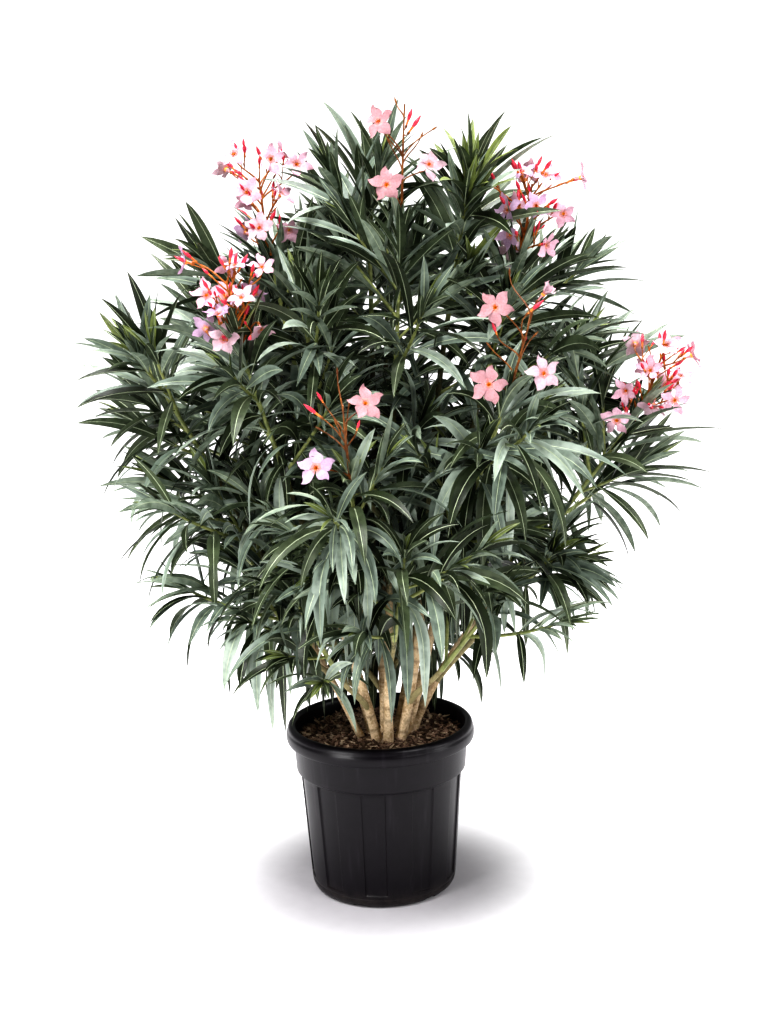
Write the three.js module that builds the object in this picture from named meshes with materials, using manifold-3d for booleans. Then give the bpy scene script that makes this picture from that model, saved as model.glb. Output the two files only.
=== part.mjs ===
// A many-stemmed oleander in flower, standing in a black fluted nursery pot.
// Millimetres, +Z up. The origin is the centre of the pot's flat underside, and -Y is the front.
// The pot is filled with potting soil. Ten stems rise from one root crown, boughs leave their
// sides, and every stem and bough carries one mass of leafy shoots that keeps to its own space.
import * as THREE from "three";
import { mergeVertices } from "three/addons/utils/BufferGeometryUtils.js";
import Module from "manifold-3d";

const wasm = await Module();
wasm.setup();

// ---- Driving dimensions -------------------------------------------------------------------

const CLEARANCE = 0.3; // air gap left between neighbouring solids

const SOIL_LEVEL = 325;

const POT = {
  height: 360,
  rimRadius: 200,
  rimDepth: 38,
  bandTopRadius: 185,
  bandFootRadius: 181,
  bandDepth: 60,
  shoulderRadius: 174, // the fluted body, just under the band
  footRadius: 153.5,
  footRounding: 15,
  wall: 6, // at the band, and thicker by the depth of the flutes below it
  floor: 6,
  hollowSegments: 24,
  flutes: 10,
  fluteDepth: 3,
  fluteFoot: 26,
  fluteHeading: -42, // middle of the first sunk panel, in degrees from the front
};

const DRAIN = { count: 6, width: 27, height: 8, depth: 14, heading: -20 };

const ROOT_CROWN = new THREE.Vector3(14, -14, SOIL_LEVEL + CLEARANCE);
const FOCUS = new THREE.Vector3(0, 0, 300); // the point that all shoots point away from

const SHOOT = { radius: 4.6, tipRadius: 2.2, sideRadius: 3.4, sideShare: 0.78, curl: 0.16 };

const LEAF = { length: 208, width: 54, thickness: 5, widest: 0.45, perWhorl: 3, gap: 112, stagger: 7 };

const BLOSSOM = { radius: 32, depth: 10, offset: 6, budRadius: 6.5, stalkRadius: 2 };

// Each stem's foot is given by its heading round the root crown (0 is the front, 90 the right)
// and its distance from it.
const STEMS = {
  far_left: { heading: -84, ring: 54, radius: 7.5 },
  left: { heading: -118, ring: 33, radius: 11 },
  front_left: { heading: -38, ring: 33, radius: 10.5 },
  centre: { heading: 4, ring: 37, radius: 10 },
  centre_right: { heading: 46, ring: 38, radius: 10.5 },
  right: { heading: 92, ring: 38, radius: 10 },
  far_right: { heading: 112, ring: 57, radius: 9.5 },
  back_right: { heading: 146, ring: 42, radius: 10 },
  back: { heading: 184, ring: 44, radius: 10.5 },
  middle: { heading: 190, ring: 9, radius: 11 },
};

// Each mass of foliage: the stem that feeds it, and the heading, reach and height of its main
// shoot's tip. A mass with no fork grows on from the end of its stem. The others sit on a bough
// that leaves the stem at that share of its length. A mass in bloom carries a dense or an open
// head of flowers, which rises this far above the shoot's tip.
const MASSES = {
  top_front: { stem: "centre", heading: 34, reach: 121, height: 1375, open: 246 },
  top_right: { stem: "centre_right", heading: 90, reach: 212, height: 1495 },
  top_left: { stem: "middle", heading: 176, reach: 96, height: 1500 },
  left_crown: { stem: "left", heading: -104, reach: 205, height: 1345, dense: 200 },
  right_crown: { stem: "right", heading: 81, reach: 308, height: 1325, dense: 188 },
  back_crown: { stem: "back", heading: 172, reach: 330, height: 1400 },
  back_right_crown: { stem: "back_right", heading: 128, reach: 410, height: 1310 },
  left_front: { stem: "front_left", heading: -50, reach: 315, height: 1165, dense: 178 },
  far_left: { stem: "far_left", heading: -90, reach: 470, height: 1160 },
  far_right: { stem: "far_right", heading: 79, reach: 535, height: 1004, dense: 178 },
  back_left_crown: { stem: "middle", fork: 0.55, heading: -147, reach: 350, height: 1340 },
  front_left_crown: { stem: "centre", fork: 0.6, heading: -54, reach: 165, height: 1270 },
  left_back: { stem: "left", fork: 0.5, heading: -124, reach: 425, height: 1215 },
  right_back: { stem: "right", fork: 0.5, heading: 104, reach: 480, height: 1130 },
  right_front: { stem: "centre_right", fork: 0.45, heading: 41, reach: 385, height: 1069, open: 177 },
  front: { stem: "front_left", fork: 0.36, heading: -6, reach: 375, height: 941, open: 160 },
  back_left: { stem: "middle", fork: 0.34, heading: -137, reach: 500, height: 1080 },
  back: { stem: "back", fork: 0.42, heading: 176, reach: 515, height: 1060 },
  back_right: { stem: "back_right", fork: 0.45, heading: 140, reach: 530, height: 1020 },
  left_mid: { stem: "far_left", fork: 0.4, heading: -78, reach: 335, height: 890 },
  front_low: { stem: "centre", fork: 0.2, heading: 8, reach: 405, height: 800 },
  front_left_low: { stem: "front_left", fork: 0.13, heading: -27, reach: 330, height: 690 },
  left_low: { stem: "left", fork: 0.13, heading: -66, reach: 290, height: 720 },
  front_right_low: { stem: "centre_right", fork: 0.1, heading: 44, reach: 350, height: 690 },
  right_low: { stem: "far_right", fork: 0.22, heading: 74, reach: 395, height: 770 },
  back_left_low: { stem: "middle", fork: 0.1, heading: -134, reach: 370, height: 770 },
  back_right_low: { stem: "back", fork: 0.1, heading: 152, reach: 380, height: 750 },
};

// Length of a main shoot, by the height of its tip.
const MAIN_SHOOT = { high: 300, low: 250, highAt: 1300, lowAt: 700 };

// ---- Materials ----------------------------------------------------------------------------

const finish = (color, roughness) => new THREE.MeshStandardMaterial({ color, roughness, metalness: 0 });
const BLACK_PLASTIC = finish(0x1d1c1f, 0.45);
const POTTING_SOIL = finish(0x4a3327, 0.95);
const PALE_BARK = finish(0xa08a62, 0.8);
const GREEN_BARK = finish(0x6b6a44, 0.7);
const FOLIAGE = finish(0x3c5240, 0.45);

// ---- Small helpers ------------------------------------------------------------------------

const DEGREE = Math.PI / 180;
const DOWN = new THREE.Vector3(0, 0, -1);

const mix = (a, b, share) => a + (b - a) * share;
const clampShare = (value, low, high) => THREE.MathUtils.clamp((value - low) / (high - low), 0, 1);

// A point given by its heading from the front, its distance from the axis and its height.
function polar(heading, reach, height) {
  const angle = heading * DEGREE;
  return new THREE.Vector3(reach * Math.sin(angle), -reach * Math.cos(angle), height);
}

// A seeded stream of numbers from 0 to 1, so that the plant grows the same way every time.
function seeded(seed) {
  let state = seed >>> 0;
  return () => {
    state = (state + 0x6d2b79f5) >>> 0;
    let mixed = Math.imul(state ^ (state >>> 15), state | 1);
    mixed ^= mixed + Math.imul(mixed ^ (mixed >>> 7), mixed | 61);
    return ((mixed ^ (mixed >>> 14)) >>> 0) / 4294967296;
  };
}

// Any unit vector across the given one, then turned round it by an angle.
function across(axis, angle) {
  const helper = Math.abs(axis.z) > 0.95 ? new THREE.Vector3(1, 0, 0) : new THREE.Vector3(0, 0, 1);
  const side = new THREE.Vector3().crossVectors(helper, axis).normalize();
  return side.applyAxisAngle(axis, angle);
}

function toSolid(geometry) {
  geometry.deleteAttribute("normal");
  geometry.deleteAttribute("uv");
  const merged = mergeVertices(geometry, 1e-3);
  return new wasm.Manifold(
    new wasm.Mesh({
      numProp: 3,
      vertProperties: merged.attributes.position.array,
      triVerts: new Uint32Array(merged.index.array),
    }),
  );
}

// The largest body of a solid: loose scraps and sealed hollows are dropped.
function largestBody(solid) {
  return solid.decompose().reduce((best, body) => (body.volume() > best.volume() ? body : best));
}

function toGeometry(solid) {
  const mesh = solid.getMesh();
  const positions = new Float32Array(mesh.numVert * 3);
  for (let i = 0; i < mesh.numVert; i++) {
    positions.set(mesh.vertProperties.subarray(i * mesh.numProp, i * mesh.numProp + 3), i * 3);
  }
  const geometry = new THREE.BufferGeometry();
  geometry.setAttribute("position", new THREE.BufferAttribute(positions, 3));
  geometry.setIndex(new THREE.BufferAttribute(mesh.triVerts, 1));
  geometry.computeVertexNormals();
  return geometry;
}

const oleander = new THREE.Group();

function addNode(name, geometry, material) {
  const mesh = new THREE.Mesh(geometry, material);
  mesh.name = name;
  oleander.add(mesh);
}

// ---- The pot and its soil -----------------------------------------------------------------

const bandFoot = POT.height - POT.rimDepth - POT.bandDepth;
const bodyRadius = (height) => mix(POT.footRadius, POT.shoulderRadius, height / bandFoot);

// Four lathe steps make one flute: a sunk panel with steep edges, then a raised one.
const FLUTE_STEPS = [0, 1.5, 16.5, 18].map((degrees) => degrees * DEGREE);
const FLUTE_IS_SUNK = [false, true, true, false];

function potOutline() {
  const outline = new THREE.Path();
  outline.moveTo(0, 0);
  outline.lineTo(POT.footRadius - POT.footRounding, 0);
  const cornerX = bodyRadius(POT.footRounding) - POT.footRounding;
  outline.absarc(cornerX, POT.footRounding, POT.footRounding, -Math.PI / 2, 0, false);
  outline.lineTo(bodyRadius(POT.fluteFoot), POT.fluteFoot);
  outline.lineTo(bodyRadius(bandFoot - 4), bandFoot - 4);
  outline.lineTo(POT.bandFootRadius, bandFoot + 2);
  outline.lineTo(POT.bandTopRadius, POT.height - POT.rimDepth);
  outline.lineTo(POT.rimRadius, POT.height - POT.rimDepth + 2);
  outline.absarc(POT.rimRadius - 8, POT.height - 8, 8, 0, Math.PI / 2, false);
  outline.lineTo(0, POT.height);
  return outline.getPoints(1);
}

// Moves each lathe step of the outer shell to its place in its flute, and sinks the panels.
function fluted(shell) {
  const position = shell.attributes.position;
  const steps = POT.flutes * FLUTE_STEPS.length;
  for (let i = 0; i < position.count; i++) {
    const radius = Math.hypot(position.getX(i), position.getZ(i));
    const height = position.getY(i);
    const turns = Math.atan2(position.getX(i), position.getZ(i)) / (2 * Math.PI) + 1;
    const step = Math.round(turns * steps) % steps;
    const place = step % FLUTE_STEPS.length;
    const onPanel = height > POT.fluteFoot - 1 && height < bandFoot - 1 && radius > POT.fluteDepth;
    const sunk = onPanel && FLUTE_IS_SUNK[place] ? POT.fluteDepth : 0;
    const flute = Math.floor(step / FLUTE_STEPS.length);
    const angle = (flute * 360 * DEGREE) / POT.flutes + FLUTE_STEPS[place];
    position.setX(i, (radius - sunk) * Math.sin(angle));
    position.setZ(i, (radius - sunk) * Math.cos(angle));
  }
  return shell;
}

// The pot's hollow from the floor up, drawn in by a gap on every side but the top. The soil
// fills it to the soil level, and the part above that is open.
function hollow(gap, top) {
  const bandShare = (top - bandFoot) / POT.bandDepth;
  const outline = [
    new THREE.Vector2(0, POT.floor + gap),
    new THREE.Vector2(POT.footRadius - POT.wall - POT.fluteDepth - gap, POT.floor + gap),
    new THREE.Vector2(POT.shoulderRadius - POT.wall - POT.fluteDepth - gap, bandFoot - 6),
    new THREE.Vector2(POT.bandFootRadius - POT.wall - gap, bandFoot),
    new THREE.Vector2(mix(POT.bandFootRadius, POT.bandTopRadius, bandShare) - POT.wall - gap, top),
    new THREE.Vector2(0, top),
  ];
  return new THREE.LatheGeometry(outline, POT.hollowSegments).rotateX(Math.PI / 2);
}

function makePot() {
  const shell = new THREE.LatheGeometry(potOutline(), POT.flutes * FLUTE_STEPS.length);
  fluted(shell).rotateX(Math.PI / 2); // the lathe's Y axis becomes +Z
  shell.rotateZ((POT.fluteHeading - 9) * DEGREE);
  let pot = toSolid(shell).subtract(toSolid(hollow(0, POT.height + 1)));
  for (let i = 0; i < DRAIN.count; i++) {
    const heading = DRAIN.heading + (360 / DRAIN.count) * i;
    const middle = polar(heading, POT.footRadius, 0);
    const notch = new THREE.BoxGeometry(DRAIN.width, 2 * DRAIN.depth, 2 * DRAIN.height);
    notch.rotateZ(heading * DEGREE).translate(middle.x, middle.y, middle.z);
    pot = pot.subtract(toSolid(notch));
  }
  addNode("pot", toGeometry(largestBody(pot)), BLACK_PLASTIC);
}

// The faces of a lathed solid come closer than its edges, so the gap is a little over the clearance.
function makeSoil() {
  addNode("soil", hollow(CLEARANCE * 1.1, SOIL_LEVEL), POTTING_SOIL);
}

// ---- Limbs --------------------------------------------------------------------------------

// A tapering round limb along a curve, made by bending a unit cylinder. radiusAt gives the
// radius at each share of the length, and a level foot lies flat on a horizontal plane.
function limbGeometry(curve, radiusAt, sides, steps, levelFoot = false) {
  const geometry = new THREE.CylinderGeometry(1, 1, 1, sides, steps);
  const frames = curve.computeFrenetFrames(steps, false);
  const position = geometry.attributes.position;
  for (let i = 0; i < position.count; i++) {
    const step = Math.round((position.getY(i) + 0.5) * steps);
    const point = curve.getPointAt(step / steps);
    const radius = radiusAt(step / steps);
    const levelHeight = point.z;
    point.addScaledVector(frames.normals[step], position.getX(i) * radius);
    point.addScaledVector(frames.binormals[step], -position.getZ(i) * radius);
    if (levelFoot && step === 0) point.z = levelHeight;
    position.setXYZ(i, point.x, point.y, point.z);
  }
  return geometry;
}

const solidLimb = (...limb) => toSolid(limbGeometry(...limb));

// A smooth curve that leaves one point along one direction and reaches another along its own.
function sweep(start, startDirection, end, endDirection) {
  const pull = start.distanceTo(end) * 0.36;
  return new THREE.CubicBezierCurve3(
    start,
    start.clone().addScaledVector(startDirection, pull),
    end.clone().addScaledVector(endDirection, -pull),
    end,
  );
}

const limbs = []; // the centre line of every stem and bough in short lengths, to keep leaves off it

function rememberLimb(curve, radiusAt) {
  const samples = 16;
  const points = Array.from({ length: samples + 1 }, (_, i) => curve.getPointAt(i / samples));
  limbs.push({
    lines: points.slice(1).map((end, i) => new THREE.Line3(points[i], end)),
    radii: points.slice(1).map((_, i) => radiusAt(i / samples)),
  });
}

const STEM_SHAPE = { sides: 6, steps: 6, tipRadius: 5, flare: 0.2, flareShare: 0.07 };
const BOUGH_SHAPE = { sides: 5, steps: 4, radius: 7.2, tipRadius: 4.8 };

function stemRadius(baseRadius) {
  return (share) => {
    const flare = 1 + STEM_SHAPE.flare * Math.max(0, 1 - share / STEM_SHAPE.flareShare);
    return mix(baseRadius, STEM_SHAPE.tipRadius, Math.pow(share, 0.9)) * flare;
  };
}

const boughRadius = (share) => mix(BOUGH_SHAPE.radius, BOUGH_SHAPE.tipRadius, share);

const leaderOf = (name) => Object.values(MASSES).find(({ stem, fork }) => stem === name && !fork);

// Where a mass's main shoot starts, which way it points and where it ends.
function mainShoot(mass) {
  const tip = polar(mass.heading, mass.reach, mass.height);
  const direction = tip.clone().sub(FOCUS).normalize();
  const share = clampShare(mass.height, MAIN_SHOOT.lowAt, MAIN_SHOOT.highAt);
  const length = mix(MAIN_SHOOT.low, MAIN_SHOOT.high, share);
  return { tip, direction, length, foot: tip.clone().addScaledVector(direction, -length) };
}

function makeStems() {
  const stems = {};
  for (const [name, stem] of Object.entries(STEMS)) {
    const { foot: end, direction } = mainShoot(leaderOf(name));
    const foot = polar(stem.heading, stem.ring, 0).add(ROOT_CROWN);
    const out = polar(stem.heading, 1, 0);
    const start = new THREE.Vector3(0, 0, 1).addScaledVector(out, 0.1 + stem.ring / 160).normalize();
    const curve = sweep(foot, start, end, direction);
    const radiusAt = stemRadius(stem.radius);
    const { sides, steps } = STEM_SHAPE;
    const wider = (share) => radiusAt(share) + CLEARANCE;
    stems[name] = { curve, jacket: solidLimb(curve, wider, sides, steps, true) };
    rememberLimb(curve, radiusAt);
    addNode(`stem_${name}`, limbGeometry(curve, radiusAt, sides, steps, true), PALE_BARK);
  }
  return stems;
}

// A bough starts on its stem's centre line, and what lies inside the stem is cut away.
function makeBoughs(stems) {
  for (const [name, mass] of Object.entries(MASSES)) {
    if (!mass.fork) continue;
    const stem = stems[mass.stem];
    const { foot: end, direction } = mainShoot(mass);
    const start = stem.curve.getPointAt(mass.fork);
    const toEnd = end.clone().sub(start).normalize();
    const leave = stem.curve.getTangentAt(mass.fork).add(toEnd).add(toEnd).normalize();
    const curve = sweep(start, leave, end, direction);
    const { sides, steps } = BOUGH_SHAPE;
    const bough = solidLimb(curve, boughRadius, sides, steps).subtract(stem.jacket);
    rememberLimb(curve, boughRadius);
    addNode(`bough_${name}`, toGeometry(largestBody(bough)), GREEN_BARK);
  }
}

// ---- Growth -------------------------------------------------------------------------------

const SPACE_MARGIN = 1.2; // how far each mass stays inside its own space
const LIMB_MARGIN = 2.5; // how far leaves and twigs stay off every stem and bough

// The axis of each mass runs along its main shoot and on up through its flower head.
const axes = Object.values(MASSES).map((mass) => {
  const { foot, tip, direction } = mainShoot(mass);
  return new THREE.Line3(foot, tip.clone().addScaledVector(direction, mass.dense ?? mass.open ?? 0));
});

const nearest = new THREE.Vector3();
const distanceTo = (line, point) => line.closestPointToPoint(point, true, nearest).distanceTo(point);

// A mass's space is every point that lies nearer to its own axis than to any other mass's.
function isInSpace(point, own) {
  const ownDistance = distanceTo(axes[own], point);
  return axes.every((axis, i) => i === own || distanceTo(axis, point) - ownDistance > 2 * SPACE_MARGIN);
}

function isClearOfLimbs(point, radius) {
  return limbs.every(({ lines, radii }) =>
    lines.every((line, i) => distanceTo(line, point) > radii[i] + radius + LIMB_MARGIN),
  );
}

// The line of one leaf. Young leaves near the shoot's tip stand up along it and are short, and
// older ones open out and arch over, the more so the lower they hang.
function leafLine(base, shootDirection, angle, age, random, scale) {
  const opening = (mix(24, 78, Math.pow(age, 0.75)) + (random() - 0.5) * 18) * DEGREE;
  const slack = mix(1, 0.3, clampShare(base.z, 850, 1400));
  const droop = (mix(6, 96, age) * slack + random() * 22) * DEGREE;
  const length = LEAF.length * mix(0.5, 1, Math.min(1, age * 2.6)) * mix(0.86, 1.08, random()) * scale;
  const direction = shootDirection.clone().multiplyScalar(Math.cos(opening));
  direction.addScaledVector(across(shootDirection, angle), Math.sin(opening));
  const points = [base.clone()];
  const steps = 8;
  for (let i = 1; i <= steps; i++) {
    const turn = (droop / steps) * (0.4 + (1.2 * i) / steps);
    const fall = direction.angleTo(DOWN);
    const hinge = new THREE.Vector3().crossVectors(direction, DOWN);
    if (hinge.lengthSq() > 1e-6) direction.applyAxisAngle(hinge.normalize(), Math.min(turn, fall * 0.8));
    points.push(points[i - 1].clone().addScaledVector(direction, length / steps));
  }
  return points;
}

// A leaf blade of six faces: pointed at both ends, flat above and keeled below.
function leafBlade(points, shootDirection) {
  const base = points[0];
  const tip = points[points.length - 1];
  const middle = points[Math.round(LEAF.widest * (points.length - 1))];
  const along = tip.clone().sub(base).normalize();
  const side = new THREE.Vector3().crossVectors(along, shootDirection);
  if (side.lengthSq() < 1e-3) side.copy(across(along, 0));
  side.normalize();
  const upper = new THREE.Vector3().crossVectors(side, along).normalize();
  const width = LEAF.width * Math.min(1, mix(0.45, 1, base.distanceTo(tip) / LEAF.length));
  const geometry = new THREE.SphereGeometry(1, 3, 2);
  const position = geometry.attributes.position;
  for (let i = 0; i < position.count; i++) {
    const [x, y, z] = [position.getX(i), position.getY(i), position.getZ(i)];
    const corner = y > 0.5 ? tip.clone() : y < -0.5 ? base.clone() : middle.clone();
    corner.addScaledVector(side, (-z / Math.sqrt(3)) * width);
    corner.addScaledVector(upper, (Math.min(0, x) + 0.3) * LEAF.thickness * (1 - Math.abs(y)));
    position.setXYZ(i, corner.x, corner.y, corner.z);
  }
  return { geometry, base, middle, tip, halfWidth: width / 2 };
}

// Probes all along both halves of a blade, each as wide as the blade is there.
function isBladeClear({ geometry, base, middle, tip, halfWidth }, own) {
  const corners = geometryPoints(geometry);
  const edges = [base, tip].flatMap((end) => corners.map((corner) => corner.clone().lerp(end, 0.5)));
  if (!corners.concat(edges).every((point) => isInSpace(point, own))) return false;
  return [0.2, 0.4, 0.6, 0.8, 1].every(
    (share) =>
      isClearOfLimbs(base.clone().lerp(middle, share), halfWidth * share) &&
      isClearOfLimbs(tip.clone().lerp(middle, share - 0.2), halfWidth * (share - 0.2)),
  );
}

function geometryPoints(geometry) {
  const position = geometry.attributes.position;
  return Array.from({ length: position.count }, (_, i) =>
    new THREE.Vector3().fromBufferAttribute(position, i),
  );
}

// How many side shoots a mass has: more where it is tall and not in bloom.
const SIDE_SHOOTS = { tall: 3, other: 2, tallFrom: 1300 };

// The shoots of one mass: the main one, then side shoots that leave it all round. Each leans off
// the main shoot by an angle, and stands round it at another.
function shootsOf(mass, random) {
  const { foot, direction: axis, length } = mainShoot(mass);
  const shootFrom = (at, rest) => ({ start: foot.clone().addScaledVector(axis, at), axis, ...rest });
  const main = { lean: 0, angle: 0, length: length - CLEARANCE, radius: SHOOT.radius };
  const shoots = [shootFrom(CLEARANCE, main)];
  const inBloom = mass.dense || mass.open;
  const sideCount = mass.height > SIDE_SHOOTS.tallFrom && !inBloom ? SIDE_SHOOTS.tall : SIDE_SHOOTS.other;
  const firstAngle = random() * 2 * Math.PI;
  for (let i = 0; i < sideCount; i++) {
    const at = mix(0.08, 0.45, i / (sideCount - 1));
    const side = {
      lean: mix(52, 34, at) * DEGREE,
      angle: firstAngle + i * 2.4 + (random() - 0.5) * 0.5,
      length: length * SHOOT.sideShare * mix(0.8, 1.05, random()),
      radius: SHOOT.sideRadius,
    };
    shoots.push(shootFrom(at * length, side));
  }
  return shoots;
}

// Each try at a shoot: its share of the full length, and how far it is turned round the main one.
const SHOOT_TRIES = [
  ...[0, 0.7, -0.7, 1.4].map((turn) => [1, turn]),
  ...[0, 1, -1].map((turn) => [0.8, turn]),
  ...[0, 1.2].map((turn) => [0.6, turn]),
];

// A shoot rises a little as it grows. It is the first try that stays in its space and off limbs.
function shootCurve(shoot, own) {
  for (const [share, turn] of SHOOT_TRIES) {
    const length = shoot.length * share;
    const direction = shoot.axis.clone().multiplyScalar(Math.cos(shoot.lean));
    direction.addScaledVector(across(shoot.axis, shoot.angle + turn), Math.sin(shoot.lean));
    const end = shoot.start.clone().addScaledVector(direction, length);
    end.z += length * SHOOT.curl * (1 - Math.abs(direction.z));
    const endDirection = end.clone().sub(shoot.start).normalize();
    endDirection.z += SHOOT.curl;
    const curve = sweep(shoot.start, direction, end, endDirection.normalize());
    const isMain = shoot.lean === 0;
    const fits = [0.25, 0.5, 0.75, 1].every((at) => {
      const point = curve.getPointAt(at);
      return isInSpace(point, own) && (isMain || isClearOfLimbs(point, shoot.radius));
    });
    if (fits) return curve;
  }
  return null;
}

// Each try at a leaf: its share of the full length, and how far it is turned round its shoot.
const LEAF_TRIES = [
  ...[0, 0.4, -0.4, 0.9].map((turn) => [1, turn]),
  ...[0.2, -0.7].map((turn) => [0.82, turn]),
  ...[0, 0.7].map((turn) => [0.66, turn]),
  [0.5, -0.3],
];
const MOST_CROSSING = 14; // cubic millimetres that a leaf shares with its shoot at its root

// Adds a leaf to the plant so far by the first of several tries that stays in the mass's space
// and off the limbs and the other leaves. With no such try the leaf is left out.
function addLeaf(plant, base, direction, angle, age, random, own) {
  for (const [scale, turn] of LEAF_TRIES) {
    const points = leafLine(base, direction, angle + turn, age, random, scale);
    const blade = leafBlade(points, direction);
    if (!isBladeClear(blade, own)) continue;
    const leaf = toSolid(blade.geometry);
    if (leaf.intersect(plant).volume() < MOST_CROSSING) return plant.add(leaf);
  }
  return plant;
}

// Leaves in whorls of three down a shoot, each whorl turned from the last.
function addLeaves(plant, curve, random, own) {
  const length = curve.getLength();
  const turn = random() * Math.PI;
  for (let whorl = 0, fromTip = 6; fromTip < length * 0.9; whorl++, fromTip += LEAF.gap) {
    const at = 1 - fromTip / length;
    const direction = curve.getTangentAt(at);
    const age = Math.min(1, (fromTip + 12) / 210);
    for (let i = 0; i < LEAF.perWhorl; i++) {
      const base = curve.getPointAt(at).addScaledVector(direction, -i * LEAF.stagger);
      const angle = turn + whorl * 1.05 + (i * 2 * Math.PI) / LEAF.perWhorl + (random() - 0.5) * 0.35;
      plant = addLeaf(plant, base, direction, angle, age, random, own);
    }
  }
  return plant;
}

// ---- Blossom ------------------------------------------------------------------------------

// A five-petalled flower as a shallow star: a ten-sided spindle with every other corner drawn in.
function flowerGeometry(centre, facing) {
  const geometry = new THREE.SphereGeometry(1, 10, 2);
  const position = geometry.attributes.position;
  const turn = new THREE.Quaternion().setFromUnitVectors(new THREE.Vector3(0, 1, 0), facing);
  for (let i = 0; i < position.count; i++) {
    const corner = Math.round((Math.atan2(position.getX(i), position.getZ(i)) / Math.PI) * 5 + 10);
    const reach = corner % 2 ? BLOSSOM.radius : BLOSSOM.radius * 0.5;
    const point = new THREE.Vector3(
      position.getX(i) * reach + BLOSSOM.offset,
      (position.getY(i) * BLOSSOM.depth) / 2,
      position.getZ(i) * reach,
    );
    point.applyQuaternion(turn).add(centre);
    position.setXYZ(i, point.x, point.y, point.z);
  }
  return geometry;
}

// A three-sided stalk that swells into a pointed bud at its end.
function budOnStalk(start, direction, length) {
  const line = new THREE.LineCurve3(start, start.clone().addScaledVector(direction, length));
  const steps = 3;
  const radii = [BLOSSOM.stalkRadius, BLOSSOM.stalkRadius, BLOSSOM.budRadius, 0.6];
  return limbGeometry(line, (share) => radii[Math.round(share * steps)], 3, steps);
}

function stalk(start, end) {
  return limbGeometry(new THREE.LineCurve3(start, end), () => BLOSSOM.stalkRadius, 3, 1);
}

// How the rays of each kind of flower head stand round its stalk.
const HEADS = {
  dense: { rays: 4, ray: 88, spread: 52, flowers: 4 },
  open: { rays: 3, ray: 80, spread: 54, flowers: 2 },
};

// A flower head on the tip of a main shoot: rays round a stalk, each ending in a flower or a bud.
function headOf(head, rise, tip, direction, random, own) {
  const up = direction.clone().lerp(new THREE.Vector3(0, 0, 1), 0.15).normalize();
  const root = tip.clone().addScaledVector(direction, -8);
  const pieces = [budOnStalk(root, up, rise)];
  for (let i = 0; i < head.rays; i++) {
    const share = i / (head.rays - 1);
    const lean = head.spread * mix(1.25, 0.6, share) * DEGREE;
    const ray = up.clone().multiplyScalar(Math.cos(lean));
    ray.addScaledVector(across(up, i * 2.4 + random() * 0.6), Math.sin(lean));
    const start = root.clone().addScaledVector(up, (rise - head.ray) * mix(0.3, 1, share));
    const end = start.clone().addScaledVector(ray, head.ray);
    const flower = flowerGeometry(end, ray);
    if (!geometryPoints(flower).every((corner) => isInSpace(corner, own))) continue;
    if (i < head.flowers) pieces.push(stalk(start, end), flower);
    else pieces.push(budOnStalk(start, ray, head.ray));
  }
  return pieces;
}

// ---- The masses of foliage ----------------------------------------------------------------

// One mass: its shoots are joined first, then its flower head, then its leaves one by one.
function makeMass([name, mass], own) {
  const random = seeded(101 + own * 17);
  const curves = [];
  const wood = [];
  for (const shoot of shootsOf(mass, random)) {
    const curve = shootCurve(shoot, own);
    if (!curve) continue;
    curves.push(curve);
    wood.push(limbGeometry(curve, (share) => mix(shoot.radius, SHOOT.tipRadius, share), 3, 2));
  }
  for (const [kind, head] of Object.entries(HEADS)) {
    const [tip, direction] = [curves[0].getPoint(1), curves[0].getTangent(1)];
    if (mass[kind]) wood.push(...headOf(head, mass[kind], tip, direction, random, own));
  }
  let plant = wasm.Manifold.union(wood.map(toSolid));
  for (const curve of curves) plant = addLeaves(plant, curve, random, own);
  addNode(`foliage_${name}`, toGeometry(largestBody(plant)), FOLIAGE);
}

makePot();
makeSoil();
makeBoughs(makeStems());
Object.entries(MASSES).forEach(makeMass);

export default oleander;
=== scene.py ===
"""Looks for a many-stemmed oleander in flower, standing in a black fluted nursery pot.

The growth rule works in millimetres and the meshes are in metres. The origin is the centre of
the pot's flat underside, +Z is up and -Y is the front.
"""

import logging
import math
from dataclasses import dataclass, field
from enum import Enum
from typing import Any, Callable, Iterable, Optional, Union

import bmesh
import bpy
import numpy as np
from mathutils import Matrix, Vector, noise

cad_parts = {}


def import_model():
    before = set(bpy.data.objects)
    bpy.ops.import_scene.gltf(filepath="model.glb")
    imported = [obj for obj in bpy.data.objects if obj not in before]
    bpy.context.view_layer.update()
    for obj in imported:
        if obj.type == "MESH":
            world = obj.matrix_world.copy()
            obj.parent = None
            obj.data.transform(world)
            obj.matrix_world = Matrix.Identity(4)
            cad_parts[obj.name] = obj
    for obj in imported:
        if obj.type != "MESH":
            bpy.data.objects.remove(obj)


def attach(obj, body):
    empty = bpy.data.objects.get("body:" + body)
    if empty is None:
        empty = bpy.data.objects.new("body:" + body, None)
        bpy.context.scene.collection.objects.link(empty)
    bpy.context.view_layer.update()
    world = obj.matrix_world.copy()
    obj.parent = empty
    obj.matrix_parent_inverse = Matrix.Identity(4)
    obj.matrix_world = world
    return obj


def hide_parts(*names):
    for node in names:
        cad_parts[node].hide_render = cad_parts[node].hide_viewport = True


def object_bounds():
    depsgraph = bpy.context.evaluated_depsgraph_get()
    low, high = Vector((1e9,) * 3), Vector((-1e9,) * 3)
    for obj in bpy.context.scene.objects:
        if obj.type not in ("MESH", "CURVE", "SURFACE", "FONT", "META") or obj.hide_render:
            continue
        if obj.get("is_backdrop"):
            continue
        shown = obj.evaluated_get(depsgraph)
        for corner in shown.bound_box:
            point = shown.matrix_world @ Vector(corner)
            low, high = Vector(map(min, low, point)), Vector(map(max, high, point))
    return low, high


Array = np.ndarray
Material, Node, Object, Socket = (
    bpy.types.Material, bpy.types.Node, bpy.types.Object, bpy.types.NodeSocket
)
Numbers = Union[float, Array]
Place = tuple[float, float, float]

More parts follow.
